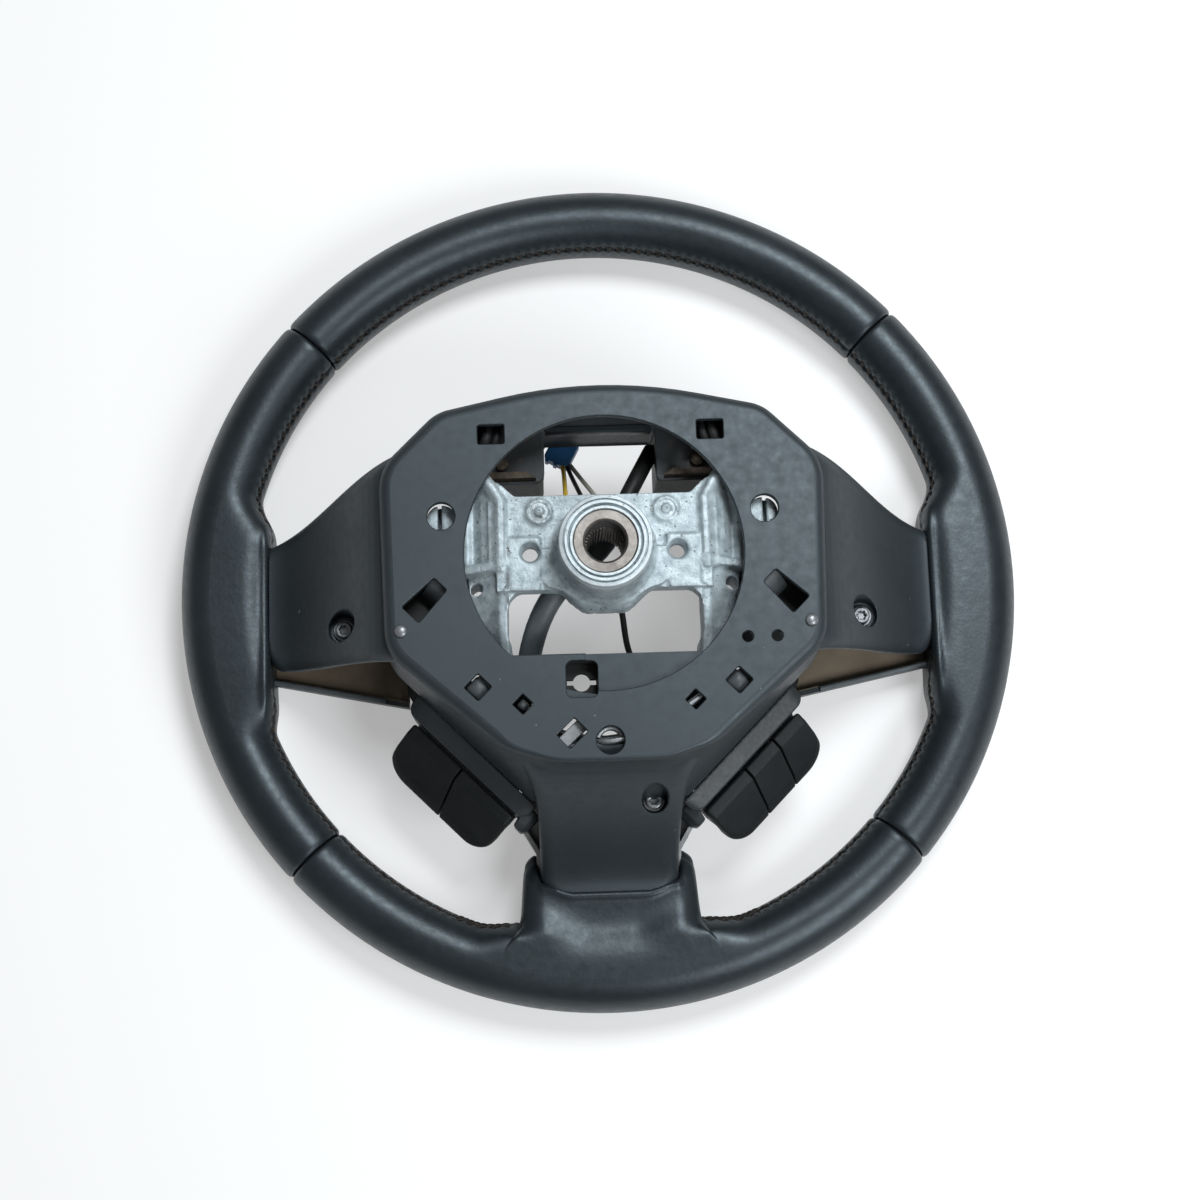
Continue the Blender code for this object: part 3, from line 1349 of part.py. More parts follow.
def make_housing(side, sign, material, frame):
    rim, floor = rim_level(), floor_level()
    bottom = floor - TROUGH_FLOOR
    outer = stem_high() + FIT + TROUGH_WALL + 0.0006
    wall_n, face_n = -0.013, -0.010
    trough_half = CAP_LENGTH / 2 - TROUGH_SETBACK
    rings = []
    for share in (-1.0, -0.97, -0.85, -0.7, 0.7, 0.85, 0.97, 1.0):
        spot = share * trough_half
        draw = corner_draw(spot, trough_half + 0.0001, 0.009)
        ring = (
            (hub_side(rim, face_n), rim),
            (outer - draw, rim),
            (outer - draw, bottom),
            (hub_side(bottom, wall_n), bottom),
            (hub_side(rim, wall_n), rim),
        )
        rings.append([(sign * spot, down, out) for down, out in ring])
    housing = loft(f"pod_housing_{side}", rings, material, parent=frame)
    tilt = math.radians(POD_TILT)
    strip_half = STRIP_LENGTH / 2
    wall_ring = (
        (wall_n, -0.004),
        (face_n, -0.004),
        (face_n, STRIP_RISE + 0.0053),
        (face_n - STRIP_WIDTH, STRIP_RISE + 0.0070),
        (face_n - STRIP_WIDTH, STRIP_RISE + 0.0070 - STRIP_THICKNESS),
        (wall_n, STRIP_RISE + 0.0070 - STRIP_THICKNESS - 0.001),
    )
    rings = []
    for end in (STRIP_SHIFT - strip_half, STRIP_SHIFT + strip_half):
        ring = []
        for n, z in wall_ring:
            down = n * math.cos(tilt) - z * math.sin(tilt)
            out = n * math.sin(tilt) + z * math.cos(tilt)
            ring.append((sign * end, down, out))
        rings.append(ring)
    unite(housing, loft(f"strip_{side}", rings, parent=frame))
    gap = SCREW_FIT
    low = (-cavity_half(), stem_low() - gap, floor)
    high = (cavity_half(), stem_high() + gap, rim + 0.01)
    cut(housing, block(f"trough_{side}", low, high, parent=frame))
    hole = SCREW_SHANK + 2 * SCREW_FIT
    ear_start, ear_end = EAR_N - EAR_REACH, POD_CENTRE_N + (wall_n + face_n) / 2
    for i, (t, spot) in enumerate(zip(ear_places(), ear_spots(sign))):
        middle = pod_place(t, (ear_start + ear_end) / 2, sign)
        outline = rectangle(middle, ear_end - ear_start, EAR_LENGTH, -sign * 45)
        unite(housing, prism(f"ear_{side}_{i}", outline, EAR_Z, EAR_Z + EAR_THICKNESS))
        cut(housing, disc(f"ear_hole_{side}_{i}", spot, hole, EAR_Z - 0.01, EAR_Z + 0.01, SMALL_SIDES))


def make_pod(side, sign, splits, names, materials):
    """One pod: housing, board, mat and buttons. Splits are the grooves' places along the pod."""
    frame = pod_frame(side, sign)
    make_housing(side, sign, materials["housing"], frame)
    floor = floor_level()
    half = cavity_half() - SCREW_FIT
    low_edge, high_edge = stem_low(), stem_high()
    board_low, mat_low = floor + FIT, floor + 2 * FIT + BOARD
    low, high = (-half, low_edge, board_low), (half, high_edge, board_low + BOARD)
    block(f"switch_board_{side}", low, high, materials["board"], frame)
    low, high = (-half, low_edge, mat_low), (half, high_edge, mat_low + MAT)
    block(f"dome_mat_{side}", low, high, materials["rubber"], frame)
    edges = [-CAP_LENGTH / 2] + list(splits) + [CAP_LENGTH / 2]
    last = len(names) - 1
    for i, name in enumerate(names):
        start = edges[i] + (BUTTON_GROOVE / 2 if i else 0.0)
        end = edges[i + 1] - (BUTTON_GROOVE / 2 if i < last else 0.0)
        leans = (GROOVE_LEAN if i else 0.0, GROOVE_LEAN if i < last else 0.0)
        button(f"button_{side}_{name}", start, end, leans, sign, materials["button"], frame)
    for name, spot in zip(("upper", "lower"), ear_spots(sign)):
        screw(f"pod_screw_{side}_{name}", spot, EAR_Z + EAR_THICKNESS, POD_SCREW_LENGTH, materials["steel"])


# Wiring


def make_clip(material):
    """A saddle on the front of the hub plate that the sleeve runs through."""
    inner = SLEEVE_HOSE / 2 + CLIP_FIT
    outer = inner + CLIP_WALL
    top = HUB_FRONT_Z - FIT
    roof = sleeve_height() + inner
    section = (
        (-outer, top),
        (-outer, roof - CLIP_DEPTH),
        (-inner, roof - CLIP_DEPTH),
        (-inner, roof),
        (inner, roof),
        (inner, roof - CLIP_DEPTH),
        (outer, roof - CLIP_DEPTH),
        (outer, top),
    )
    rings = [[(x, end, z) for x, z in section] for end in (-CLIP_LENGTH / 2, CLIP_LENGTH / 2)]
    clip = loft("harness_clip", rings, material)
    (ax, ay, _), (bx, by, _) = sleeve_route()[3], sleeve_route()[4]
    clip.location = (between(ax, bx, 0.72), between(ay, by, 0.72), 0.0)
    clip.rotation_euler.z = math.atan2(by - ay, bx - ax) - math.pi / 2


def sleeve_height():
    return 0.077


def sleeve_route():
    z = sleeve_height()
    return [
        (0.0187, 0.0505, 0.0620),
        (0.0165, 0.0390, 0.0710),
        (0.0010, 0.0090, z),
        (-0.0080, 0.0000, z),
        (-0.0205, -0.0125, z),
        (-0.0275, -0.0230, 0.0745),
        (-0.0315, -0.0335, 0.0680),
        (-0.0345, -0.0450, 0.0545),
        (-0.0440, -0.0555, 0.0440),
        (-0.0560, -0.0655, 0.0455),
        (-0.0648, -0.0722, 0.0480),
    ]


def make_wiring(materials):
    tube("harness_sleeve", sleeve_route(), SLEEVE_HOSE, materials["sleeve"], 3)
    make_clip(materials["clip"])
    top = SURROUND_FRONT_Z - FIT
    spot = (CONNECTOR_X, CONNECTOR_Y)
    outline = rectangle(spot, CONNECTOR_LENGTH, CONNECTOR_WIDTH, CONNECTOR_TURN)
    prism("airbag_connector", outline, top - CONNECTOR_HEIGHT, top, materials["connector"])
    yellow = [
        (-0.0155, 0.0488, 0.0390),
        (-0.0150, 0.0420, 0.0450),
        (-0.0140, 0.0320, 0.0600),
        (-0.0110, 0.0200, 0.0730),
        (-0.0095, 0.0125, 0.0775),
    ]
    white = [
        (-0.0095, 0.0465, 0.0390),
        (-0.0060, 0.0400, 0.0470),
        (-0.0005, 0.0310, 0.0600),
        (0.0022, 0.0225, 0.0685),
        (0.0022, 0.0190, 0.0710),
    ]
    black = [
        (-0.0125, 0.0468, 0.0390),
        (-0.0110, 0.0410, 0.0460),
        (-0.0070, 0.0310, 0.0600),
        (-0.0045, 0.0220, 0.0700),
        (-0.0040, 0.0175, 0.0735),
    ]
    right = [
        (0.0065, -0.0165, HUB_FRONT_Z - 0.0014),
        (0.0075, -0.0235, 0.0780),
        (0.0105, -0.0380, 0.0680),
        (0.0200, -0.0510, 0.0540),
        (0.0330, -0.0590, 0.0460),
        (0.0480, -0.0665, 0.0450),
        (0.0628, -0.0745, 0.0480),
    ]
    tube("lead_yellow", yellow, LEAD, materials["yellow"])
    tube("lead_white", white, LEAD, materials["white"])
    tube("lead_black", black, LEAD, materials["black"])
    tube("right_pod_lead", right, POD_LEAD, materials["black"])


def main():
    clear_scene()
    leather = make_material("leather", (0.020, 0.024, 0.027), 0.45)
    foam = make_material("foam", (0.02, 0.02, 0.02), 0.9)
    steel = make_material("steel", (0.45, 0.44, 0.42), 0.35, 1.0)
    bush = make_material("bush steel", (0.42, 0.36, 0.31), 0.35, 1.0)
    casting = make_material("cast aluminium", (0.62, 0.66, 0.68), 0.5, 0.9)
    cover = make_material("grey cover plastic", (0.055, 0.066, 0.072), 0.55)
    trim = make_material("black trim plastic", (0.035, 0.034, 0.031), 0.5)
    garnish = make_material("silver garnish", (0.55, 0.56, 0.57), 0.3, 0.6)
    dark = make_material("dark frame plastic", (0.02, 0.021, 0.022), 0.6)
    pod_materials = {
        "housing": make_material("pod housing plastic", (0.03, 0.034, 0.037), 0.5),
        "button": make_material("button plastic", (0.022, 0.025, 0.027), 0.55),
        "board": make_material("board green", (0.03, 0.10, 0.05), 0.5),
        "rubber": make_material("dome rubber", (0.25, 0.25, 0.24), 0.7),
        "steel": steel,
    }
    wire_materials = {
        "sleeve": make_material("grey sleeve", (0.07, 0.08, 0.085), 0.5),
        "clip": make_material("clip plastic", (0.02, 0.02, 0.02), 0.6),
        "connector": make_material("blue connector", (0.03, 0.14, 0.28), 0.45),
        "yellow": make_material("yellow insulation", (0.75, 0.50, 0.05), 0.45),
        "white": make_material("white insulation", (0.65, 0.63, 0.58), 0.45),
        "black": make_material("black insulation", (0.015, 0.015, 0.015), 0.45),
    }
    make_leather(leather)
    make_foam(foam)
    rod_torus("rim_core", ROD_DIAMETER / 2, steel)
    make_armature(casting)
    make_bush(bush)
    make_rivets(casting)
    make_cover(cover)
    make_cover_fasteners(steel, steel)
    make_side_trims(trim)
    make_lower_trim(garnish)
    make_bezel(dark)
    make_bezel_screws(steel)
    make_surround(dark)
    make_snap_brackets(dark)
    make_spring(steel)
    make_pod("left", -1, (LEFT_GROOVE,), ("upper", "lower"), pod_materials)
    make_pod("right", 1, RIGHT_GROOVES, ("upper", "middle", "lower"), pod_materials)
    make_wiring(wire_materials)


main()
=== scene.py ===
"""Looks of a leather steering wheel that lies face down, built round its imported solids.

Metres. +Z points to the steering column, +Y to twelve o'clock, and the rim's front side rests on z = 0.
"""

import json
import math
import random

import bmesh
import bpy
from mathutils import Matrix, Vector
from mathutils.geometry import delaunay_2d_cdt


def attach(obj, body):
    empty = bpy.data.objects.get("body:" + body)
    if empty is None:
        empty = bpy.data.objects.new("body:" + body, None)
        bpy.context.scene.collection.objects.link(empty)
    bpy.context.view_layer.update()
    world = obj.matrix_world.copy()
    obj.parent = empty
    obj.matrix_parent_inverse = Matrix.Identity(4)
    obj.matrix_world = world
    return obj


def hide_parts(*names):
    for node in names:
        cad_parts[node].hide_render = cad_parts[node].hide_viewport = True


# Camera of the photograph, fitted to the solids: angles in degrees, metres, and pixels of its square picture
VIEW_TILT = 10.5
VIEW_SIDE = 1.6
VIEW_ROLL = 1.9
VIEW_DISTANCE = 0.9
VIEW_CENTRE_Z = 0.0165
FOCAL_PX = 1993.0
CENTRE_PX = (599.7, 589.3)
PICTURE_PX = 1200
SENSOR_MM = 36.0

# Rim
RIM_DIAMETER = 0.375
GRIP_WIDTH = 0.0295
GRIP_DEPTH = 0.033
LEATHER = 0.0016
SEAM_ANGLE = 48.0
SEAM_GAP = 0.0005
SEAM_ROLL = 0.0024
SEAM_SINK = 0.0017
CREST = 0.012
FOAM_INSET = 0.0038
RIM_RADIUS = RIM_DIAMETER / 2 - GRIP_WIDTH / 2
RIM_INNER = RIM_DIAMETER / 2 - GRIP_WIDTH
RIM_Z = GRIP_DEPTH / 2

# Lobes of leather over the roots of the spokes, and the cheeks beside the lower spoke
SIDE_MOUTH_X = 0.1465
SIDE_MOUTH_Y = -0.009
SIDE_MOUTH_HALF = 0.030
LOWER_MOUTH_Y = -0.135
LOWER_MOUTH_HALF = 0.0308
LOBE_OVERRUN = 0.0035
LOBE_FADE = 0.026
LOBE_SQUARENESS = 2.2
MOUTH_SOFT = 0.0022
MOUTH_RISE = 0.0042
MOUTH_BEAD = 0.0017
BEAD_FROM_MOUTH = 0.0018
BEAD_HALF = 0.0018
LOBE_DIP = 0.13
LOBE_DIP_AT = 0.006
LOBE_DIP_HALF = 0.008
CHEEK_AWAY = 0.0418
CHEEK_WALL = 0.0032
CHEEK_X = 0.0385
CHEEK_ROUND = 0.010
CHEEK_REACH = 0.0368
CHEEK_TIP = 0.0085
CHEEK_FILLET = 0.0048
CHEEK_FADE = 0.017
LOWER_DEPTH = RIM_INNER + LOWER_MOUTH_Y + LOBE_OVERRUN
SIDE_DEPTH = RIM_INNER - SIDE_MOUTH_X + LOBE_OVERRUN

# Stitching along the inside of the rim
STITCH_OFFSET = 0.0060
STITCH_PITCH = 0.0046
STITCH_HALF = 0.0017
THREAD = 0.0008
GROOVE_DEPTH = 0.0009
GROOVE_HALF = 0.0011
PUCKER = 0.00035
FRINGE_END = 0.066
FRINGE_ROWS = (0.0030, 0.0068)

# Rear cover
PLATE_FACE_Z = 0.102
PLATE_BACK_Z = 0.099
COVER_WALL = 0.0025
PLATE_EDGE = 0.005
PLATE_FOOT_EDGE = 0.0018
SKIRT_Z = 0.061
SKIRT_FLARE = 0.002
SKIRT_POD_N = 0.0927
SKIRT_LOW_X = 0.033
PLATE_HALF = 0.0925
PLATE_PEAK_Y = 0.0762
PLATE_SHOULDER = (0.068, 0.0615)
PLATE_SIDE_TOP_Y = 0.0375
PLATE_SIDE_LOW = (0.0905, -0.039)
PLATE_LOW = (0.043, -0.080)
PLATE_FOOT = (0.022, -0.086)
CENTRE_HOLE = 0.115
SLOT = (0.0736, -0.018)
SLOT_LENGTH = 0.0177
SLOT_HALF_WIDTHS = (0.0037, 0.0049)
PANEL_TOP_Y = -0.042
PANEL_FACE_Z = 0.0995
PANEL_BACK_Z = 0.0965
PANEL_LAP = 0.0015
PANEL_SPLIT_X = -0.009
KEY_CENTRE = (-0.0108, -0.0524)
KEY_SIZE = (0.0127, 0.015)
KEY_CORNER = 0.0025
KEY_WALL = 0.0015
KEY_LOW_Z = 0.088
KEY_FLOOR_Z = 0.090
KEY_HOLE = 0.0072
KEY_BAR = (0.012, 0.002)

# Spoke shells of the rear cover, and its screw wells: place, bore, floor
SIDE_ROOT_X = 0.084
SIDE_END_X = 0.1470
SIDE_ROOT_Y = (-0.044, 0.046)
SIDE_END_Y = (-0.0362, 0.021)
SIDE_LEAN = 0.28
SPOKE_CORNER = 0.0065
LOWER_ROOT_Y = -0.078
LOWER_END_Y = -0.1356
LOWER_ROOT_HALF = 0.045
LOWER_END_HALF = 0.030
LOWER_NARROWING = 6
SPOKE_ROOT_Z = 0.097
SPOKE_END_Z = 0.030
SPOKE_EDGE = 0.006
SPOKE_PARTING_Z = 0.017
SPOKE_PARTING_SLOPE = 0.42
SIDE_WELL = ((0.111, -0.0225), 0.013, 0.056)
LOWER_WELL = ((0.0185, -0.0995), 0.011, 0.062)
WELL_WALL = 0.0017
WELL_FLOOR = 0.003

# Front halves of the side spokes
TRIM_ROOT_X = 0.086
TRIM_ROOT_Y = (-0.0525, 0.040)
TRIM_END_Y = (-0.0388, 0.021)
TRIM_FRONT_Z = (0.018, 0.006)
TRIM_WALL = 0.0022
TRIM_LINING = 0.0003
TRIM_LIP = 0.0072
TRIM_BAR = 0.0026
TRIM_BAR_X = 0.0945

# Hub casting
HUB_FACE_Z = 0.096
HUB_FRONT_Z = 0.087
BOSS_FACE_Z = 0.124
BOSS_DIAMETER = 0.038
BUSH_DIAMETER = 0.026
BUSH_BORE = 0.0176
SPLINE_DEPTH = 0.0009
SPLINES = 36
BUSH_SINK = 0.0015
BORE_DARK = 0.0127
PULLER = (0.0305, 0.0013)
RIVET = (0.0263, 0.0184)
ROUND_WINDOW = (0.0666, 0.0165)
ROD_DIAMETER = 0.013

# Switch pods, in their tilted frames
POD_TILT = 45.0
POD_CENTRE_N = 0.1110
POD_CENTRE_Z = 0.0403
POD_CENTRE_T = 0.0160
CAP_LENGTH = 0.058
CAP_CORNER = 0.012
CAP_EDGE = 0.0014
BUTTON_GROOVE = 0.0008
BUTTON_EDGE = 0.0005
LEFT_GROOVES = (0.0015,)
RIGHT_GROOVES = (-0.0105, 0.0068)
GROOVE_LEAN = 0.002
STRIP_SHIFT = -0.0015
STRIP_LENGTH = 0.069
STRIP_CORNER = 0.0055
STRIP_WIDTH = 0.0081
STRIP_TOP = 0.0213
POD_FACE_N = -0.010
POD_WALL_N = -0.013
GUSSET = (
    (-0.006, -0.0105, 0.0172),
    (0.0002, -0.0105, 0.0165),
    (0.0010, -0.0062, 0.0150),
    (0.0050, -0.0060, 0.0120),
    (0.0068, -0.0085, 0.0070),
)

SIDES = (("left", -1), ("right", 1))

# Faces more level than this are shaded flat
LEVEL = 0.99995

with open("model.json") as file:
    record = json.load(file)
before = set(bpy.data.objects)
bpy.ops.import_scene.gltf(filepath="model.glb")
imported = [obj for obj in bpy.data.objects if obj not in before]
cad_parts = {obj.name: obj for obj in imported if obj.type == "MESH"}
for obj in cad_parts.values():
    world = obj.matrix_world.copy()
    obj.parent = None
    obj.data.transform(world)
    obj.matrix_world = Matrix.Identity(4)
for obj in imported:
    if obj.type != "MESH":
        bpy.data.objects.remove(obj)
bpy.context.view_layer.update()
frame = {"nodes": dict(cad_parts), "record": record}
random.seed(7)


# Small helpers


def smooth(amount):
    amount = max(0.0, min(1.0, amount))
    return amount * amount * (3 - 2 * amount)


def between(low, high, share):
    return low + (high - low) * share


def soft_max(a, b, width):
    blend = max(width - abs(a - b), 0.0) / width
    return max(a, b) + blend * blend * width / 4


def bell(distance, width):
    return math.exp(-((distance / width) ** 2))


def circle(centre, radius, count=48):
    turns = [2 * math.pi * i / count for i in range(count)]
    return [(centre[0] + radius * math.cos(t), centre[1] + radius * math.sin(t)) for t in turns]


def rectangle(centre, length, width, turn_degrees=0.0):
    turn = Matrix.Rotation(math.radians(turn_degrees), 2)
    corners = ((-1, -1), (1, -1), (1, 1), (-1, 1))
    return [tuple(turn @ Vector((a * length / 2, b * width / 2)) + Vector(centre)) for a, b in corners]


def rounded(corners, radii, steps=6):
    """An outline with each corner replaced by an arc of its radius, or of the largest that its edges allow."""
    most_of_edge = 0.6
    outline = []
    for i, corner in enumerate(corners):
        here = Vector(corner)
        back = Vector(corners[i - 1]) - here
        ahead = Vector(corners[(i + 1) % len(corners)]) - here
        shorter = min(back.length, ahead.length)
        back.normalize()
        ahead.normalize()
        half = math.acos(max(-1.0, min(1.0, back.dot(ahead)))) / 2
        reach = min(radii[i] / math.tan(half), most_of_edge * shorter)
        centre = here + (back + ahead).normalized() * reach / math.cos(half)
        start = here + back * reach - centre
        end = here + ahead * reach - centre
        sweep = start.angle_signed(end)
        for k in range(steps + 1):
            turn = Matrix.Rotation(-sweep * k / steps, 2)
            outline.append(tuple(centre + turn @ start))
    return outline


def soft_rectangle(centre, length, width, turn_degrees=0.0, corner=0.0008):
    return rounded(rectangle(centre, length, width, turn_degrees), [corner] * 4)


def grown(outline, amount):
    """The outline moved outwards along its own normals, by one amount or by one for each point."""
    amounts = amount if isinstance(amount, list) else [amount] * len(outline)
    area = sum(a[0] * b[1] - b[0] * a[1] for a, b in zip(outline, outline[1:] + outline[:1]))
    sense = math.copysign(1.0, area)
    moved = []
    for i, point in enumerate(outline):
        run = Vector(outline[(i + 1) % len(outline)]) - Vector(outline[i - 1])
        normal = Vector((run.y, -run.x)).normalized()
        moved.append(tuple(Vector(point) + normal * amounts[i] * sense))
    return moved


def mirrored(half):
    """A whole outline from its +X half, listed from the top down."""
    return half + [(-x, y) for x, y in reversed(half) if x > 0]


# Helpers that add faces to a mesh under construction


def skin(shape, rings, loop=False):
    rows = [[shape.verts.new(point) for point in ring] for ring in rings]
    following = rows[1:] + rows[:1] if loop else rows[1:]
    for low, high in zip(rows, following):
        for i in range(len(low)):
            j = (i + 1) % len(low)
            shape.faces.new((low[i], low[j], high[j], high[i]))
    return rows


def loft(shape, rings):
    rows = skin(shape, rings)
    shape.faces.new(rows[0][::-1])
    shape.faces.new(rows[-1])


def prism(shape, outline, low, high):
    loft(shape, [[(x, y, z) for x, y in outline] for z in (low, high)])


def turned(shape, centre, profile, count=48):
    """A turned body on a vertical axis. The profile is (diameter, z) from one end to the other."""
    loft(shape, [[(x, y, z) for x, y in circle(centre, size / 2, count)] for size, z in profile])


def inside(x, y, loops):
    """True where a point has an odd number of outline edges to its right."""
    odd = False
    for loop in loops:
        for (ax, ay), (bx, by) in zip(loop, loop[1:] + loop[:1]):
            if (ay > y) != (by > y) and x < ax + (bx - ax) * (y - ay) / (by - ay):
                odd = not odd
    return odd


def fill(shape, loops, z):
    """A flat face inside the first outline and outside the others."""
    points, edges = [], []
    for loop in loops:
        first = len(points)
        points += [Vector(point) for point in loop]
        edges += [(first + i, first + (i + 1) % len(loop)) for i in range(len(loop))]
    flat, _, faces, *_ = delaunay_2d_cdt(points, edges, [], 1, 1e-7)
    made = [shape.verts.new((x, y, z)) for x, y in flat]
    for face in faces:
        middle = sum((flat[i] for i in face), Vector((0.0, 0.0))) / len(face)
        if inside(middle.x, middle.y, loops):
            shape.faces.new([made[i] for i in face])


def plate(shape, outline, holes, low, high, edge):
    """A flat plate with holes, its upper edges rounded."""
    steps = 4
    tops = []
    for loop, sense in [(outline, -1)] + [(hole, 1) for hole in holes]:
        rings = []
        for k in range(steps + 1):
            turn = math.pi / 2 * k / steps
            inset = edge * (1 - math.sin(turn))
            z = high - edge * (1 - math.cos(turn))
            rings.append([(x, y, z) for x, y in grown(loop, sense * inset)])
        rings.append([(x, y, low) for x, y in loop])
        skin(shape, rings)
        tops.append([(x, y) for x, y, _ in rings[0]])
    fill(shape, tops, high)
    fill(shape, [outline] + holes, low)
    bmesh.ops.remove_doubles(shape, verts=shape.verts, dist=1e-6)


def sweep(shape, route, radius, count=8):
    """A round tube along points."""
    side = Vector((0.0, 0.0, 1.0))
    rings = []
    for i, here in enumerate(route):
        run = (route[min(i + 1, len(route) - 1)] - route[max(i - 1, 0)]).normalized()
        side = (side - run * side.dot(run)).normalized()
        other = run.cross(side)
        turns = [2 * math.pi * k / count for k in range(count)]
        rings.append([here + (side * math.cos(t) + other * math.sin(t)) * radius for t in turns])
    loft(shape, rings)


def smooth_route(points, spacing):
    """Points at about this spacing along a smooth curve through the given ones."""
    points = [Vector(point) for point in points]
    padded = [2 * points[0] - points[1]] + points + [2 * points[-1] - points[-2]]
    route = []
    for a, b, c, d in zip(padded, padded[1:], padded[2:], padded[3:]):
        steps = max(1, round((c - b).length / spacing))
        for i in range(steps):
            t = i / steps
            square = 2 * a - 5 * b + 4 * c - d
            cube = 3 * b - a - 3 * c + d
            route.append(0.5 * (2 * b + (c - a) * t + square * t**2 + cube * t**3))
    return route + [points[-1]]


# Helpers that make pieces


def settle(item, material, body="wheel", replaces=()):
    item.data.materials.clear()
    item.data.materials.append(material)
    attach(item, body)
    if replaces:
        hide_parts(*replaces)
    return item


def as_object(name, shape, sharp_degrees=40):
    bmesh.ops.recalc_face_normals(shape, faces=shape.faces)
    mesh = bpy.data.meshes.new(name)
    shape.to_mesh(mesh)
    shape.free()
    mesh.shade_smooth()
    mesh.set_sharp_from_angle(angle=math.radians(sharp_degrees))
    for face in mesh.polygons:
        face.use_smooth = abs(face.normal.z) < LEVEL
    item = bpy.data.objects.new(name, mesh)
    bpy.context.scene.collection.objects.link(item)
    return item


def evaluated(item):
    bpy.context.view_layer.update()
    graph = bpy.context.evaluated_depsgraph_get()
    return bpy.data.meshes.new_from_object(item.evaluated_get(graph))


def add_grid(item, voxel):
    grid = item.modifiers.new("grid", "REMESH")
    grid.mode = "VOXEL"
    grid.voxel_size = voxel


def carved(name, steps, voxel, rounds, most_faces, melt=False):
    """A body from solids added and cut in turn, its edges softened on a fine grid as in a moulding.

    With melt, the first solid is made of bodies that overlap.
    """
    parts = []
    for i, (operation, shape) in enumerate(steps):
        parts.append(as_object(f"{name}_step_{i}", shape))
        if melt and not i:
            add_grid(parts[0], voxel)
        if i:
            modifier = parts[0].modifiers.new(f"step {i}", "BOOLEAN")
            modifier.operation = operation
            modifier.object = parts[i]
            modifier.solver = "MANIFOLD"
    add_grid(parts[0], voxel)
    soften = parts[0].modifiers.new("soften", "SMOOTH")
    soften.factor = 0.5
    soften.iterations = rounds
    mesh = evaluated(parts[0])
    for part in parts:
        old = part.data
        bpy.data.objects.remove(part)
        bpy.data.meshes.remove(old)
    mesh.name = name
    item = bpy.data.objects.new(name, mesh)
    bpy.context.scene.collection.objects.link(item)
    if len(mesh.polygons) > most_faces:
        thin = item.modifiers.new("thin", "DECIMATE")
        thin.ratio = most_faces / len(mesh.polygons)
        item.data = evaluated(item)
        item.modifiers.clear()
        bpy.data.meshes.remove(mesh)
    item.data.shade_smooth()
    return item


# Materials


def node(tree, kind, **settings):
    made = tree.nodes.new(kind)
    for key, value in settings.items():
        if key in made.inputs:
            made.inputs[key].default_value = value
        else:
            setattr(made, key, value)
    return made


def noise(tree, coordinates, scale, detail=4.0, roughness=0.55):
    made = node(tree, "ShaderNodeTexNoise", Scale=scale, Detail=detail, Roughness=roughness)
    tree.links.new(coordinates, made.inputs["Vector"])
    return made.outputs["Fac"]


def remap(tree, value, low, high, to_low, to_high):
    made = node(tree, "ShaderNodeMapRange")
    made.inputs["From Min"].default_value = low
    made.inputs["From Max"].default_value = high
    made.inputs["To Min"].default_value = to_low
    made.inputs["To Max"].default_value = to_high
    tree.links.new(value, made.inputs["Value"])
    return made.outputs["Result"]


def mix(tree, factor, first, second, blend="MIX"):
    """A colour between two, each a socket or a plain colour."""
    made = node(tree, "ShaderNodeMix", data_type="RGBA", blend_type=blend)
    for value, place in ((factor, 0), (first, 6), (second, 7)):
        if isinstance(value, bpy.types.NodeSocket):
            tree.links.new(value, made.inputs[place])
        else:
            made.inputs[place].default_value = value if place == 0 else (*value, 1.0)
    return made.outputs[2]


def bump(tree, height, strength, distance, below=None):
    made = node(tree, "ShaderNodeBump", Strength=strength, Distance=distance)
    tree.links.new(height, made.inputs["Height"])
    if below:
        tree.links.new(below, made.inputs["Normal"])
    return made.outputs["Normal"]


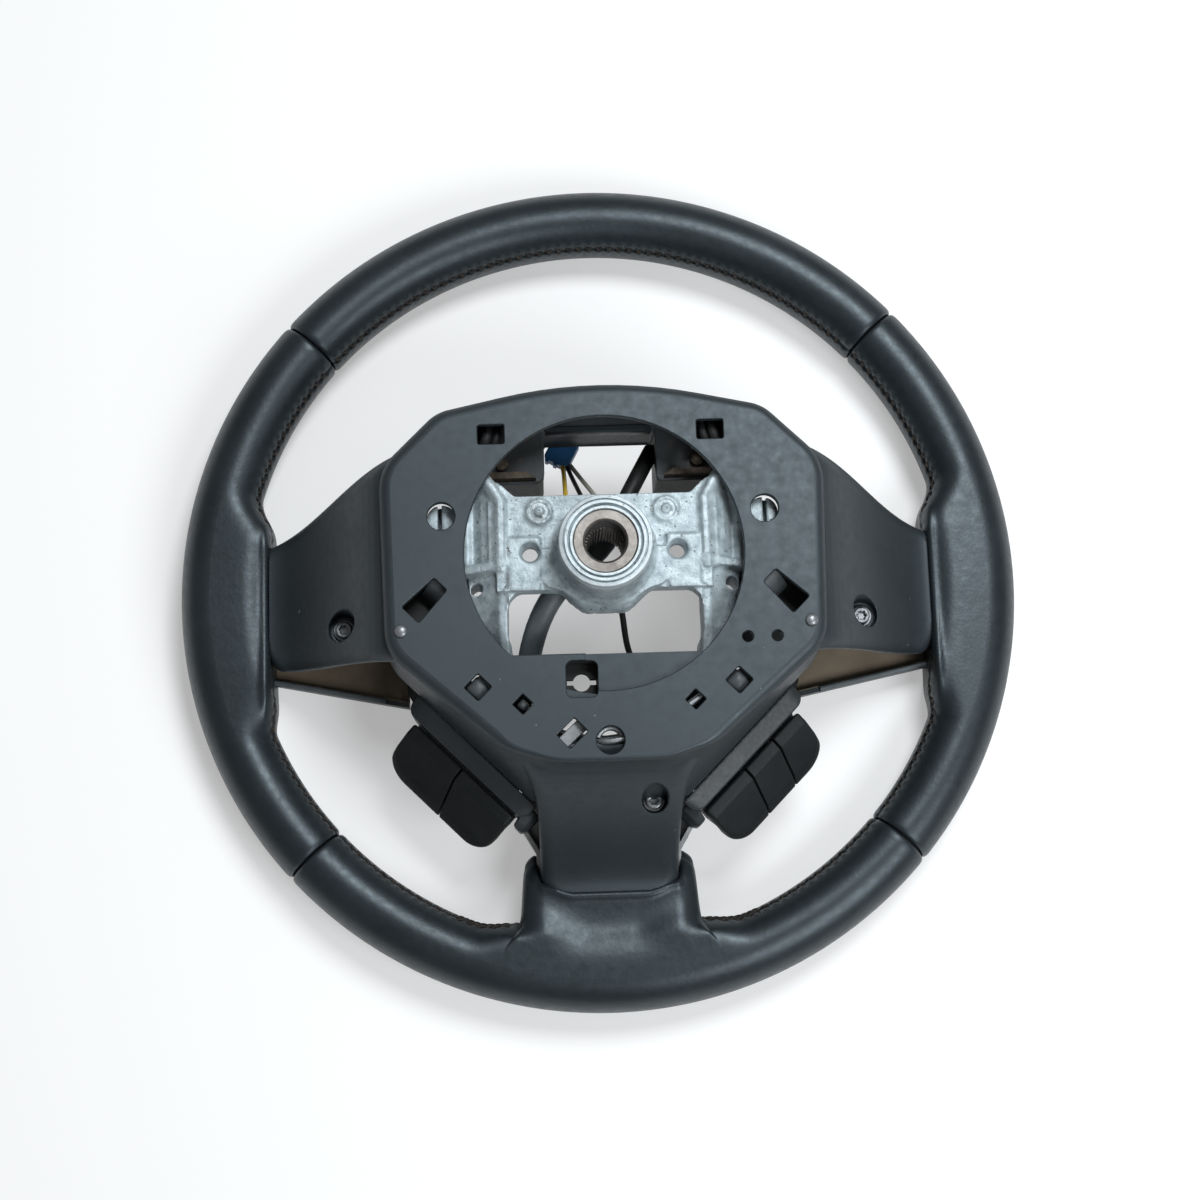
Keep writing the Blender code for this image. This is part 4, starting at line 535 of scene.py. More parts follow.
def look(name, dark, light, roughness, metallic=0.0, specular=0.5, blotch=45.0, grain=(1400.0, 0.15, 0.0002),
         cells=None, lumps=None, specks=None, edge_highlight=None, gloss=(1.0, 1.0, 1.0)):
    """A material whose colour, roughness and surface all vary.

    Dark and light are the ends of its colour, roughness its two ends, blotch the scale of the variation per metre.
    Grain and lumps are noise bumps and cells a leather-like bump: scale, strength, distance. Specks are small marks:
    colour, scale, share. Then comes a painted highlight: a lighter colour along convex edges, and its strength.
    Gloss is the colour of its shine.
    """
    material = bpy.data.materials.new(name)
    material.use_nodes = True
    tree = material.node_tree
    shader = tree.nodes["Principled BSDF"]
    shader.inputs["Metallic"].default_value = metallic
    shader.inputs["Specular IOR Level"].default_value = specular
    shader.inputs["Specular Tint"].default_value = (*gloss, 1.0)
    coordinates = node(tree, "ShaderNodeTexCoord").outputs["Object"]
    broad = noise(tree, coordinates, blotch)
    fine = noise(tree, coordinates, blotch * 9)
    colour = mix(tree, remap(tree, broad, 0.3, 0.7, 0.0, 1.0), dark, light)
    rough = remap(tree, fine, 0.3, 0.7, *roughness)
    if specks:
        tint, scale, share = specks
        spots = noise(tree, coordinates, scale, 2.0)
        colour = mix(tree, remap(tree, spots, 1 - share, 1 - share + 0.03, 0.0, 1.0), colour, tint)
    # Painted highlight: convex edges get a lighter colour, as if light caught them
    if edge_highlight:
        tint, strength = edge_highlight
        edges = node(tree, "ShaderNodeNewGeometry").outputs["Pointiness"]
        colour = mix(tree, remap(tree, edges, 0.52, 0.60, 0.0, strength), colour, tint)
    normal = None
    if lumps:
        normal = bump(tree, noise(tree, coordinates, lumps[0], 2.0), lumps[1], lumps[2])
    if cells:
        pattern = node(tree, "ShaderNodeTexVoronoi", Scale=cells[0], Randomness=0.9, feature="SMOOTH_F1")
        tree.links.new(coordinates, pattern.inputs["Vector"])
        normal = bump(tree, pattern.outputs["Distance"], cells[1], cells[2], normal)
    if grain:
        normal = bump(tree, noise(tree, coordinates, grain[0], 3.0), grain[1], grain[2], normal)
    tree.links.new(colour, shader.inputs["Base Color"])
    tree.links.new(rough, shader.inputs["Roughness"])
    if normal:
        tree.links.new(normal, shader.inputs["Normal"])
    return material


LOOKS = {
    "leather": look("leather", (0.007, 0.010, 0.012), (0.012, 0.016, 0.019), (0.36, 0.46), specular=0.55,
                    blotch=30.0, cells=(620.0, 0.12, 0.0003), grain=(2600.0, 0.06, 0.0002),
                    lumps=(60.0, 0.08, 0.002), gloss=(0.80, 0.93, 1.0)),
    "thread": look("thread", (0.010, 0.009, 0.008), (0.055, 0.047, 0.040), (0.6, 0.8), specular=0.2, blotch=300.0,
                   grain=(4000.0, 0.5, 0.0003)),
    "foam": look("foam", (0.015, 0.015, 0.015), (0.03, 0.03, 0.03), (0.85, 0.95), specular=0.2,
                 grain=(900.0, 0.5, 0.0005)),
    "cover": look("cover", (0.013, 0.017, 0.020), (0.020, 0.025, 0.028), (0.42, 0.54), specular=0.58,
                  blotch=25.0, grain=(2200.0, 0.12, 0.0002), specks=((0.15, 0.17, 0.18), 420.0, 0.235),
                  gloss=(0.80, 0.93, 1.0)),
    # The casting's convex edges carry a painted highlight
    "casting": look("casting", (0.25, 0.305, 0.33), (0.48, 0.555, 0.585), (0.38, 0.58), metallic=0.25,
                    specular=0.4, blotch=240.0, grain=(1100.0, 0.40, 0.0004), lumps=(420.0, 0.32, 0.0006),
                    specks=((0.13, 0.14, 0.14), 600.0, 0.34), edge_highlight=((0.72, 0.77, 0.79), 0.7)),
    "steel": look("steel", (0.20, 0.21, 0.22), (0.32, 0.335, 0.345), (0.46, 0.58), metallic=1.0,
                  blotch=200.0, grain=(3000.0, 0.10, 0.0001)),
    "pin": look("pin", (0.18, 0.19, 0.20), (0.28, 0.29, 0.30), (0.30, 0.42), metallic=0.6, blotch=200.0),
    "bush": look("bush", (0.20, 0.185, 0.172), (0.40, 0.375, 0.35), (0.54, 0.66), metallic=1.0, blotch=110.0,
                 grain=(2600.0, 0.14, 0.0001), specks=((0.16, 0.12, 0.09), 700.0, 0.30)),
    "rust": look("rust", (0.045, 0.038, 0.030), (0.105, 0.080, 0.058), (0.6, 0.75), specular=0.2, blotch=300.0,
                 grain=(900.0, 0.5, 0.0006), lumps=(300.0, 0.5, 0.001)),
    "trim": look("trim", (0.14, 0.112, 0.080), (0.20, 0.16, 0.115), (0.5, 0.65), specular=0.2, blotch=60.0,
                 grain=(1500.0, 0.3, 0.0003)),
    "garnish": look("garnish", (0.30, 0.31, 0.32), (0.42, 0.43, 0.44), (0.26, 0.36), metallic=0.5, blotch=40.0,
                    grain=(3000.0, 0.05, 0.0001)),
    "dark": look("dark", (0.014, 0.015, 0.016), (0.026, 0.026, 0.026), (0.5, 0.65), specular=0.2, blotch=50.0,
                 grain=(1300.0, 0.2, 0.0003)),
    "surround": look("surround", (0.028, 0.032, 0.035), (0.052, 0.057, 0.060), (0.45, 0.6), specular=0.25,
                     blotch=80.0, grain=(1300.0, 0.25, 0.0003), specks=((0.085, 0.068, 0.052), 160.0, 0.33)),
    "bracket": look("bracket", (0.045, 0.052, 0.056), (0.065, 0.073, 0.078), (0.4, 0.5), specular=0.3, blotch=80.0,
                    grain=(1800.0, 0.2, 0.0003)),
    "housing": look("housing", (0.022, 0.027, 0.030), (0.033, 0.039, 0.042), (0.40, 0.52), specular=0.35,
                    blotch=60.0, grain=(2200.0, 0.12, 0.0002)),
    "button": look("button", (0.006, 0.008, 0.009), (0.011, 0.013, 0.014), (0.48, 0.6), specular=0.2,
                   blotch=80.0, grain=(2600.0, 0.14, 0.0002)),
    "board": look("board", (0.02, 0.08, 0.04), (0.03, 0.12, 0.06), (0.4, 0.5)),
    "dome_rubber": look("dome_rubber", (0.2, 0.2, 0.19), (0.28, 0.28, 0.27), (0.6, 0.75)),
    "sleeve": look("sleeve", (0.085, 0.100, 0.108), (0.125, 0.142, 0.150), (0.4, 0.55), specular=0.3, blotch=120.0,
                   grain=(1800.0, 0.25, 0.0003)),
    "connector": look("connector", (0.015, 0.10, 0.26), (0.025, 0.15, 0.36), (0.35, 0.48), blotch=150.0),
    "yellow": look("yellow", (0.74, 0.48, 0.03), (0.84, 0.58, 0.06), (0.38, 0.5), blotch=200.0),
    "white": look("white", (0.45, 0.43, 0.38), (0.58, 0.56, 0.50), (0.38, 0.5), blotch=200.0),
    "black": look("black", (0.010, 0.010, 0.010), (0.020, 0.020, 0.020), (0.4, 0.5), specular=0.3, blotch=200.0),
}


# Rim: leather and stitching


def from_low(clock):
    """Distance of a clock angle from six o'clock, along the inside of the rim."""
    return abs(math.remainder(clock - math.pi, 2 * math.pi)) * RIM_INNER


def lobe_reach(clock):
    """How much further inwards the grip reaches at this clock angle, in radians from twelve o'clock."""
    side = math.pi / 2 - math.asin(SIDE_MOUTH_Y / RIM_INNER)
    reach = 0.0
    for centre in (side, 2 * math.pi - side):
        away = abs(math.remainder(clock - centre, 2 * math.pi)) * RIM_INNER
        reach = max(reach, SIDE_DEPTH * smooth(1 - (away - SIDE_MOUTH_HALF) / LOBE_FADE))
    away = from_low(clock)
    wall = smooth(1 - (away - CHEEK_AWAY) / CHEEK_WALL)
    into = max(0.0, min(CHEEK_TIP, away - CHEEK_AWAY + CHEEK_TIP))
    tip = CHEEK_REACH - CHEEK_TIP + math.sqrt(CHEEK_TIP**2 - into**2)
    fillet = CHEEK_FILLET * smooth(1 - (away - CHEEK_AWAY) / CHEEK_FADE)
    return max(reach, between(fillet, tip, wall))


def squareness(clock, reach):
    """How square the section is, from 0 to 1. It grows over a wider stretch than the cheeks do."""
    away = from_low(clock)
    beside_cheek = smooth(1 - (away - CHEEK_AWAY + CHEEK_FADE / 2) / (1.6 * CHEEK_FADE))
    if away < CHEEK_AWAY + 2 * CHEEK_FADE:
        return beside_cheek
    return min(1.0, 1.6 * reach / LOWER_DEPTH)


def cheek_edge(clock):
    """How far the side of a cheek is rounded off at this clock angle, from 0 to 1."""
    away = from_low(clock)
    into = (away - CHEEK_AWAY + CHEEK_ROUND) / (CHEEK_ROUND + CHEEK_WALL)
    return max(0.0, min(1.0, into)) ** 2 * smooth(1 - (away - CHEEK_AWAY - CHEEK_WALL) / CHEEK_FADE)


def cheek_pull(clock, radius):
    """How much to scale X so that the side of a cheek stands upright. It is one away from the cheeks."""
    away = from_low(clock)
    side = (CHEEK_AWAY + CHEEK_WALL / 2) / RIM_INNER
    near = smooth(1 - (away - CHEEK_AWAY - CHEEK_WALL) / CHEEK_FADE)
    near *= smooth((RIM_INNER + 0.008 - radius) / 0.012)
    return between(1.0, CHEEK_X / (radius * math.sin(side)), near)


def at_mouth(point, inset):
    """Ends a lobe in a wall with a beaded soft edge where its spoke begins."""
    x, y, z = point
    back = math.copysign(MOUTH_BEAD, z - RIM_Z)
    near = smooth(1 - (abs(y - SIDE_MOUTH_Y) - SIDE_MOUTH_HALF) / LOBE_FADE)
    z += back * near * bell(abs(x) - SIDE_MOUTH_X - BEAD_FROM_MOUTH, BEAD_HALF)
    ended = soft_max(abs(x), SIDE_MOUTH_X + inset, MOUTH_SOFT)
    x = math.copysign(between(abs(x), ended, near), x)
    if y < 0:
        inside = 1 - smooth((abs(x) - LOWER_MOUTH_HALF) / 0.0012 + 0.5)
        mouth = -LOWER_MOUTH_Y - MOUTH_RISE * smooth((abs(x) - LOWER_MOUTH_HALF / 2) / (LOWER_MOUTH_HALF / 2))
        z += back * inside * bell(-y - mouth - BEAD_FROM_MOUTH, BEAD_HALF)
        y = between(y, -soft_max(-y, mouth + inset, MOUTH_SOFT), inside)
    return Vector((x, y, z))


def grip(clock, turn, inset=0.0):
    """A point of the wrap: turn 0 is the rim's outermost line, a quarter turn its back."""
    reach = lobe_reach(clock)
    along, across = math.cos(turn), math.sin(turn)
    radial = (GRIP_WIDTH / 2 - inset) * along
    axial = (GRIP_DEPTH / 2 - inset) * across
    if along < 0:
        power = 2 / (2 + LOBE_SQUARENESS * squareness(clock, reach))
        radial = -(GRIP_WIDTH / 2 + reach - inset) * abs(along) ** power
        axial = (GRIP_DEPTH / 2 - inset) * math.copysign(abs(across) ** power, across)
        inward = -radial - GRIP_WIDTH / 2
        axial *= 1 - 0.17 * smooth(inward / 0.016) - 0.30 * smooth((inward - 0.022) / 0.012)
        axial *= 1 - LOBE_DIP * bell(inward - LOBE_DIP_AT, LOBE_DIP_HALF) * smooth(1.5 - from_low(clock) / 0.022)
        axial *= 1 - 0.45 * cheek_edge(clock) * smooth((inward + 0.003) / 0.010)
    radius = RIM_RADIUS + radial
    x = radius * math.sin(clock) * cheek_pull(clock, radius)
    return at_mouth((x, radius * math.cos(clock), RIM_Z + axial), inset)


def even_turns(clock, inner, outer=36, dense=160):
    """Turns at even spacing near the crests and over the rest of the section, and each one's distance from the
    innermost line."""
    turns = [-math.pi / 2 + math.pi * i / outer for i in range(outer)]
    steps = [math.pi / 2 + math.pi * i / dense for i in range(dense + 1)]
    points = [grip(clock, turn) for turn in steps]
    lengths = [0.0]
    for a, b in zip(points, points[1:]):
        lengths.append(lengths[-1] + (b - a).length)
    middle = lengths[dense // 2]
    distances = [1.0] * outer
    index = 0
    even = inner * 3 // 16
    for k in range(inner):
        step = min(k, inner - k)
        goal = CREST * step / even
        if step > even:
            goal = between(CREST, middle, (step - even) / (inner / 2 - even))
        if k > inner / 2:
            goal = lengths[-1] - goal
        while lengths[index + 1] < goal:
            index += 1
        share = (goal - lengths[index]) / max(1e-9, lengths[index + 1] - lengths[index])
        turns.append(between(steps[index], steps[index + 1], share))
        distances.append(middle - goal)
    return turns, distances


def wrap_ring(clock, first, last, inner):
    """A ring of the leather, rolled in at its ends and drawn in along the stitching."""
    to_end = min(clock - first, last - clock) * RIM_RADIUS
    rolled = max(0.0, 1 - to_end / SEAM_ROLL)
    roll = SEAM_SINK * (1 - math.sqrt(max(0.0, 1 - rolled * rolled)))
    wave = math.cos(2 * math.pi * clock * RIM_INNER / STITCH_PITCH)
    ring = []
    for turn, distance in zip(*even_turns(clock, inner)):
        off = distance - STITCH_OFFSET
        groove = GROOVE_DEPTH * bell(off, GROOVE_HALF)
        pucker = PUCKER * wave * (bell(off - 2.4 * GROOVE_HALF, 0.0014) + bell(off + 2.4 * GROOVE_HALF, 0.0014))
        ring.append(grip(clock, turn, roll + groove - pucker))
    return ring


def stitch_turn(clock, offset):
    """The turn at which a row of stitching lies on the section at this clock angle."""
    steps = 60
    before, passed = grip(clock, math.pi), 0.0
    for i in range(1, steps):
        turn = math.pi - math.pi / 2 * i / steps
        here = grip(clock, turn)
        passed += (here - before).length
        if passed >= offset:
            return turn
        before = here
    return math.pi / 2


def seam_frame(clock, offset):
    """A point of the stitching line with the directions across the seam and out of the leather."""
    step = 0.02
    turn = stitch_turn(clock, offset)
    here = grip(clock, turn, GROOVE_DEPTH * 0.3)
    across = (grip(clock, turn - step) - grip(clock, turn + step)).normalized()
    run = (grip(clock + step, turn) - grip(clock - step, turn)).normalized()
    outward = run.cross(across).normalized()
    middle = Vector((RIM_RADIUS * math.sin(clock), RIM_RADIUS * math.cos(clock), RIM_Z))
    if outward.dot(here - middle) < 0:
        outward = -outward
    return here, across, outward


def stitch(shape, clock, offset, half):
    """Two crossed threads over the seam."""
    reach = 0.36 * STITCH_PITCH / RIM_INNER
    ends = [seam_frame(clock - reach, offset), seam_frame(clock + reach, offset)]
    for sense in (-1, 1):
        route = []
        for i in range(6):
            share = i / 5
            here = ends[0][0].lerp(ends[1][0], share)
            across = ends[0][1].lerp(ends[1][1], share)
            outward = ends[0][2].lerp(ends[1][2], share)
            aside = sense * half * (2 * share - 1) * random.uniform(0.92, 1.08)
            lift = THREAD * (0.9 * math.sin(math.pi * share) - 0.35)
            route.append(here + across * aside + outward * lift)
        sweep(shape, route, THREAD / 2, 6)


def stitches(shape, first, last):
    """Crossed threads along one section, closer beside the lower spoke and left out at the lobes."""
    pitch = STITCH_PITCH / RIM_INNER
    for k in range(round((last - first) / pitch) - 1):
        clock = first + (k + 0.7) * pitch
        away = from_low(clock)
        if away < CHEEK_AWAY + CHEEK_WALL + 0.003:
            continue
        if away < FRINGE_END:
            for row in FRINGE_ROWS:
                for shift in (0.0, 0.5):
                    stitch(shape, clock + shift * pitch, row, STITCH_HALF)
        elif lobe_reach(clock) < 0.55 * SIDE_DEPTH:
            stitch(shape, clock, STITCH_OFFSET, STITCH_HALF)


def make_rim():
    sections = (
        ("top", -SEAM_ANGLE, SEAM_ANGLE),
        ("right", SEAM_ANGLE, 180 - SEAM_ANGLE),
        ("bottom", 180 - SEAM_ANGLE, 180 + SEAM_ANGLE),
        ("left", 180 + SEAM_ANGLE, 360 - SEAM_ANGLE),
    )
    trim = SEAM_GAP / 2 / RIM_RADIUS
    for name, start, end in sections:
        first, last = math.radians(start) + trim, math.radians(end) - trim
        even = round((last - first) / math.radians(0.42))
        clocks = [between(first, last, i / even) for i in range(even + 1)]
        near = SEAM_ROLL / RIM_RADIUS
        for share in (0.02, 0.08, 0.2, 0.45):
            clocks += [first + near * share, last - near * share]
        for away in range(40):
            turn = (CHEEK_AWAY + CHEEK_WALL * (away / 30 - 0.15)) / RIM_INNER
            clocks += [clock for clock in (math.pi - turn, math.pi + turn) if first < clock < last]
        shape = bmesh.new()
        inner = 96 if name == "bottom" else 64
        skin(shape, [wrap_ring(clock, first, last, inner) for clock in sorted(clocks)])
        item = as_object(f"wrap_{name}", shape, 60)
        thick = item.modifiers.new("thickness", "SOLIDIFY")
        thick.thickness = LEATHER
        thick.offset = -1.0
        settle(item, LOOKS["leather"], replaces=[f"leather_{name}"])
        shape = bmesh.new()
        stitches(shape, first, last)
        settle(as_object(f"stitching_{name}", shape), LOOKS["thread"])
    shape = bmesh.new()
    rings = []
    for i in range(180):
        clock = 2 * math.pi * i / 180
        rings.append([grip(clock, 2 * math.pi * k / 32, FOAM_INSET) for k in range(32)])
    skin(shape, rings, loop=True)
    foam = settle(as_object("foam_ring", shape), LOOKS["foam"], replaces=["rim_foam"])


# Rear cover


def plate_outline():
    half = [
        (0.0, PLATE_PEAK_Y),
        PLATE_SHOULDER,
        (PLATE_HALF, PLATE_SIDE_TOP_Y),
        PLATE_SIDE_LOW,
        PLATE_LOW,
        PLATE_FOOT,
    ]
    radii = [0.30, 0.018, 0.022, 0.020, 0.030, 0.045]
    return rounded(mirrored(half), radii + radii[:0:-1], 10)


def skirt_outline():
    """The lower edge of the skirt: like the plate, but its slanted sides run along the pods."""
    reach = SKIRT_POD_N * math.sqrt(2)
    half = [
        (0.0, PLATE_PEAK_Y + SKIRT_FLARE),
        (PLATE_SHOULDER[0] + SKIRT_FLARE, PLATE_SHOULDER[1] + SKIRT_FLARE),
        (PLATE_HALF + SKIRT_FLARE, PLATE_SIDE_TOP_Y + SKIRT_FLARE),
        (PLATE_HALF, PLATE_HALF - reach),
        (SKIRT_LOW_X, SKIRT_LOW_X - reach),
        (PLATE_FOOT[0], SKIRT_LOW_X - reach - SKIRT_FLARE),
    ]
    radii = [0.30, 0.018, 0.022, 0.020, 0.006, 0.006]
    return rounded(mirrored(half), radii + radii[:0:-1], 10)


def arc(radius, start, end, steps=64):
    """Points on a circle round the hub's axis, between two angles in degrees."""
    turns = [math.radians(between(start, end, i / steps)) for i in range(steps + 1)]
    return [(radius * math.cos(t), radius * math.sin(t)) for t in turns]


def pocket_outline():
    """The pocket with a keyhole beside the panel. Its corners follow one another from the lower left."""
    return soft_rectangle(KEY_CENTRE, *KEY_SIZE, corner=KEY_CORNER)


def centre_outline():
    """The hole in the middle of the plate, closed at its lower left by the flush panel, with the pocket beside it."""
    radius = CENTRE_HOLE / 2
    pocket = pocket_outline()
    corner = len(pocket) // 4
    start = -math.degrees(math.acos((KEY_CENTRE[0] + KEY_SIZE[0] / 2) / radius))
    end = 180 - math.degrees(math.asin(PANEL_TOP_Y / radius))
    split = [(PANEL_SPLIT_X, PANEL_TOP_Y), (PANEL_SPLIT_X, KEY_CENTRE[1] + KEY_SIZE[1] / 2)]
    return arc(radius, start, end) + split + pocket[-corner:] + pocket[:2 * corner]


def slot_outline(sign):
    """One of the slanted slots, wider at its lower end."""
    upper, lower = SLOT_HALF_WIDTHS
    half = SLOT_LENGTH / 2
    corners = [(-half, -upper), (half, -lower), (half, lower), (-half, upper)]
    turn = Matrix.Rotation(math.radians(-45), 2)
    placed = [turn @ Vector(corner) + Vector(SLOT) for corner in corners]
    return [(sign * x, y) for x, y in rounded(placed, [0.0010] * 4)]


def plate_holes():
    holes = [centre_outline()]
    for _, sign in SIDES:
        holes.append(soft_rectangle((sign * 0.0454, 0.0506), 0.011, 0.0082))
        holes.append(circle((sign * ROUND_WINDOW[0], ROUND_WINDOW[1]), 0.00575))
        holes.append(slot_outline(sign))
        holes.append(soft_rectangle((sign * 0.053, -0.0546), 0.008, 0.008, 45))
        holes.append(soft_rectangle((sign * 0.035, -0.062), 0.006, 0.006, 45, 0.0005))
    holes.append(soft_rectangle((-0.0154, -0.0743), 0.010, 0.0078, 43, 0.0005))
    holes.append(circle((0.0, -0.0776), 0.00575))
    holes += [circle((0.0573 + i * 0.0121, -0.0369), 0.00225, 24) for i in range(2)]
    return holes


def make_plate():
    """The plate of the rear cover with its rounded edge, its windows and its skirt."""
    shape = bmesh.new()
    outline, skirt, holes = plate_outline(), skirt_outline(), plate_holes()
    lip = 0.0004
    edges = [between(PLATE_FOOT_EDGE, PLATE_EDGE, smooth((y - PLATE_FOOT[1]) / 0.014)) for _, y in outline]
    rings, steps = [], 8
    for k in range(steps + 1):
        turn = math.pi / 2 * k / steps
        inner = grown(outline, [-edge * (1 - math.sin(turn)) for edge in edges])
        drops = [edge * (1 - math.cos(turn)) for edge in edges]
        rings.append([(x, y, PLATE_FACE_Z - drop) for (x, y), drop in zip(inner, drops)])
    top = [(x, y) for x, y, _ in rings[0]]
    edge_z = PLATE_FACE_Z - PLATE_EDGE
    for k in range(1, 7):
        share = k / 6
        ring = []
        for a, b, edge in zip(outline, skirt, edges):
            z = between(PLATE_FACE_Z - edge, SKIRT_Z, share)
            ring.append((between(a[0], b[0], share), between(a[1], b[1], share), z))
        rings.append(ring)
    back = grown(outline, -0.8 * COVER_WALL)
    inner = [[(x, y, SKIRT_Z) for x, y in grown(skirt, -COVER_WALL)]]
    inner.append([(x, y, edge_z) for x, y in grown(outline, -COVER_WALL)])
    inner.append([(x, y, PLATE_BACK_Z) for x, y in back])
    skin(shape, rings + inner)
    for hole in holes:
        wide = grown(hole, lip)
        skin(shape, [
            [(x, y, PLATE_FACE_Z) for x, y in wide],
            [(x, y, PLATE_FACE_Z - 0.3 * lip) for x, y in grown(hole, 0.3 * lip)],
            [(x, y, PLATE_FACE_Z - lip) for x, y in hole],
            [(x, y, PLATE_BACK_Z) for x, y in hole],
        ])
    fill(shape, [top] + [grown(hole, lip) for hole in holes], PLATE_FACE_Z)
    fill(shape, [back] + holes, PLATE_BACK_Z)
    bmesh.ops.remove_doubles(shape, verts=shape.verts, dist=1e-6)
    settle(as_object("cover_plate", shape, 50), LOOKS["cover"], replaces=["rear_cover"])


def make_panel():
    """The lower panel, one step down, and the pocket with a keyhole in it."""
    radius = CENTRE_HOLE / 2 + PANEL_LAP
    half = math.degrees(math.acos(-PANEL_TOP_Y / radius))
    pocket = pocket_outline()
    shape = bmesh.new()
    plate(shape, arc(radius, -90 - half, -90 + half), [grown(pocket, 0.0002)], PANEL_BACK_Z, PANEL_FACE_Z, 0.0003)
    settle(as_object("cover_panel", shape), LOOKS["cover"], replaces=["rear_cover"])
    shape = bmesh.new()
    plate(shape, grown(pocket, KEY_WALL), [pocket], KEY_LOW_Z, PANEL_BACK_Z, 0.0004)
    settle(as_object("key_well", shape), LOOKS["dark"], replaces=["rear_cover"])
    reach, side = KEY_BAR[0] / 2, KEY_BAR[1] / 2
    start = math.degrees(math.asin(side / (KEY_HOLE / 2)))
    hole = []
    for middle in (0, 180):
        hole += arc(KEY_HOLE / 2, middle + start, middle + 180 - start, 16)
        sense = -1 if middle == 0 else 1
        hole += [(sense * reach, -sense * side), (sense * reach, sense * side)]
    hole = [(x + KEY_CENTRE[0], y + KEY_CENTRE[1]) for x, y in hole]
    shape = bmesh.new()
    plate(shape, grown(pocket, 0.0003), [hole], KEY_LOW_Z, KEY_FLOOR_Z, 0.0003)
    settle(as_object("key_floor", shape), LOOKS["dark"], replaces=["rear_cover"])


def parting_z(run_to_end):
    return SPOKE_PARTING_Z + SPOKE_PARTING_SLOPE * run_to_end


def shell(rings_of, wall, drop):
    """A spoke's outer solid, or with a wall the hollow inside it. rings_of gives a station's place and edges."""
    stations = 36
    past = 0.1 if wall else 0.0
    shape = bmesh.new()
    rings = []
    for i in range(stations + 1):
        share = between(-past, 1 + past, math.sin(math.pi / 2 * i / stations))
        low, high, run, lean, put = rings_of(share)
        top = between(SPOKE_ROOT_Z, SPOKE_END_Z, smooth(share)) - drop
        floor = parting_z(run) - 2 * wall
        foot = low + wall + lean * (top - floor)
        corners = [(foot, floor), (low + wall, top), (high - wall, top), (high - wall, floor)]
        rings.append([put(a, z) for a, z in rounded(corners, [0.0003, SPOKE_EDGE, SPOKE_EDGE, 0.0003])])
    loft(shape, rings)
    return shape


def end_draw(run):
    """How far the rounded corner of a spoke draws its edge in at this distance from its end."""
    into = SPOKE_CORNER - max(0.0, min(SPOKE_CORNER, run))
    return SPOKE_CORNER - math.sqrt(SPOKE_CORNER**2 - into**2)


def side_stations(sign):
    def station(share):
        x = between(SIDE_ROOT_X, SIDE_END_X, share)
        low = between(SIDE_ROOT_Y[0], SIDE_END_Y[0], share) + end_draw(SIDE_END_X - x)
        high = between(SIDE_ROOT_Y[1], SIDE_END_Y[1], share)
        return low, high, SIDE_END_X - x, SIDE_LEAN, lambda a, z: (sign * x, a, z)
    return station


def lower_station(share):
    y = between(LOWER_ROOT_Y, LOWER_END_Y, share)
    narrowing = max(0.0, 1 - share) ** LOWER_NARROWING
    half = between(LOWER_END_HALF, LOWER_ROOT_HALF, min(1.0, narrowing)) - end_draw(y - LOWER_END_Y)
    return -half, half, y - LOWER_END_Y, 0.0, lambda a, z: (a, y, z)


def bore(centre, diameter, low, high):
    shape = bmesh.new()
    turned(shape, centre, [(diameter, low), (diameter, high)])
    return shape


def make_spoke_shells():
    shells = [("lower", lower_station, 1, LOWER_WELL)]
    shells += [(side, side_stations(sign), sign, SIDE_WELL) for side, sign in SIDES]
    for name, station, sign, (spot, size, floor) in shells:
        place = (sign * spot[0], spot[1])
        tall = BOSS_FACE_Z
        steps = [
            (None, shell(station, 0.0, 0.0)),
            ("DIFFERENCE", shell(station, COVER_WALL, 1.7 * COVER_WALL)),
        ]
        column = bore(place, size + 2 * WELL_WALL, floor - WELL_FLOOR, tall)
        outer = as_object("column", column)
        solid = as_object("outer", shell(station, 0.0, 0.0))
        meet = outer.modifiers.new("meet", "BOOLEAN")
        meet.operation = "INTERSECT"
        meet.solver = "MANIFOLD"
        meet.object = solid
        kept = bmesh.new()
        kept.from_mesh(evaluated(outer))
        for helper in (outer, solid):
            bpy.data.objects.remove(helper)
        steps += [
            ("UNION", kept),
            ("DIFFERENCE", bore(place, size, floor, tall)),
            ("DIFFERENCE", bore(place, 0.0048, floor - 0.01, floor + 0.01)),
        ]
        item = carved(f"cover_{name}", steps, 0.0006, 4, 60000)
        settle(item, LOOKS["cover"], replaces=["rear_cover"])


# Front halves of the side spokes


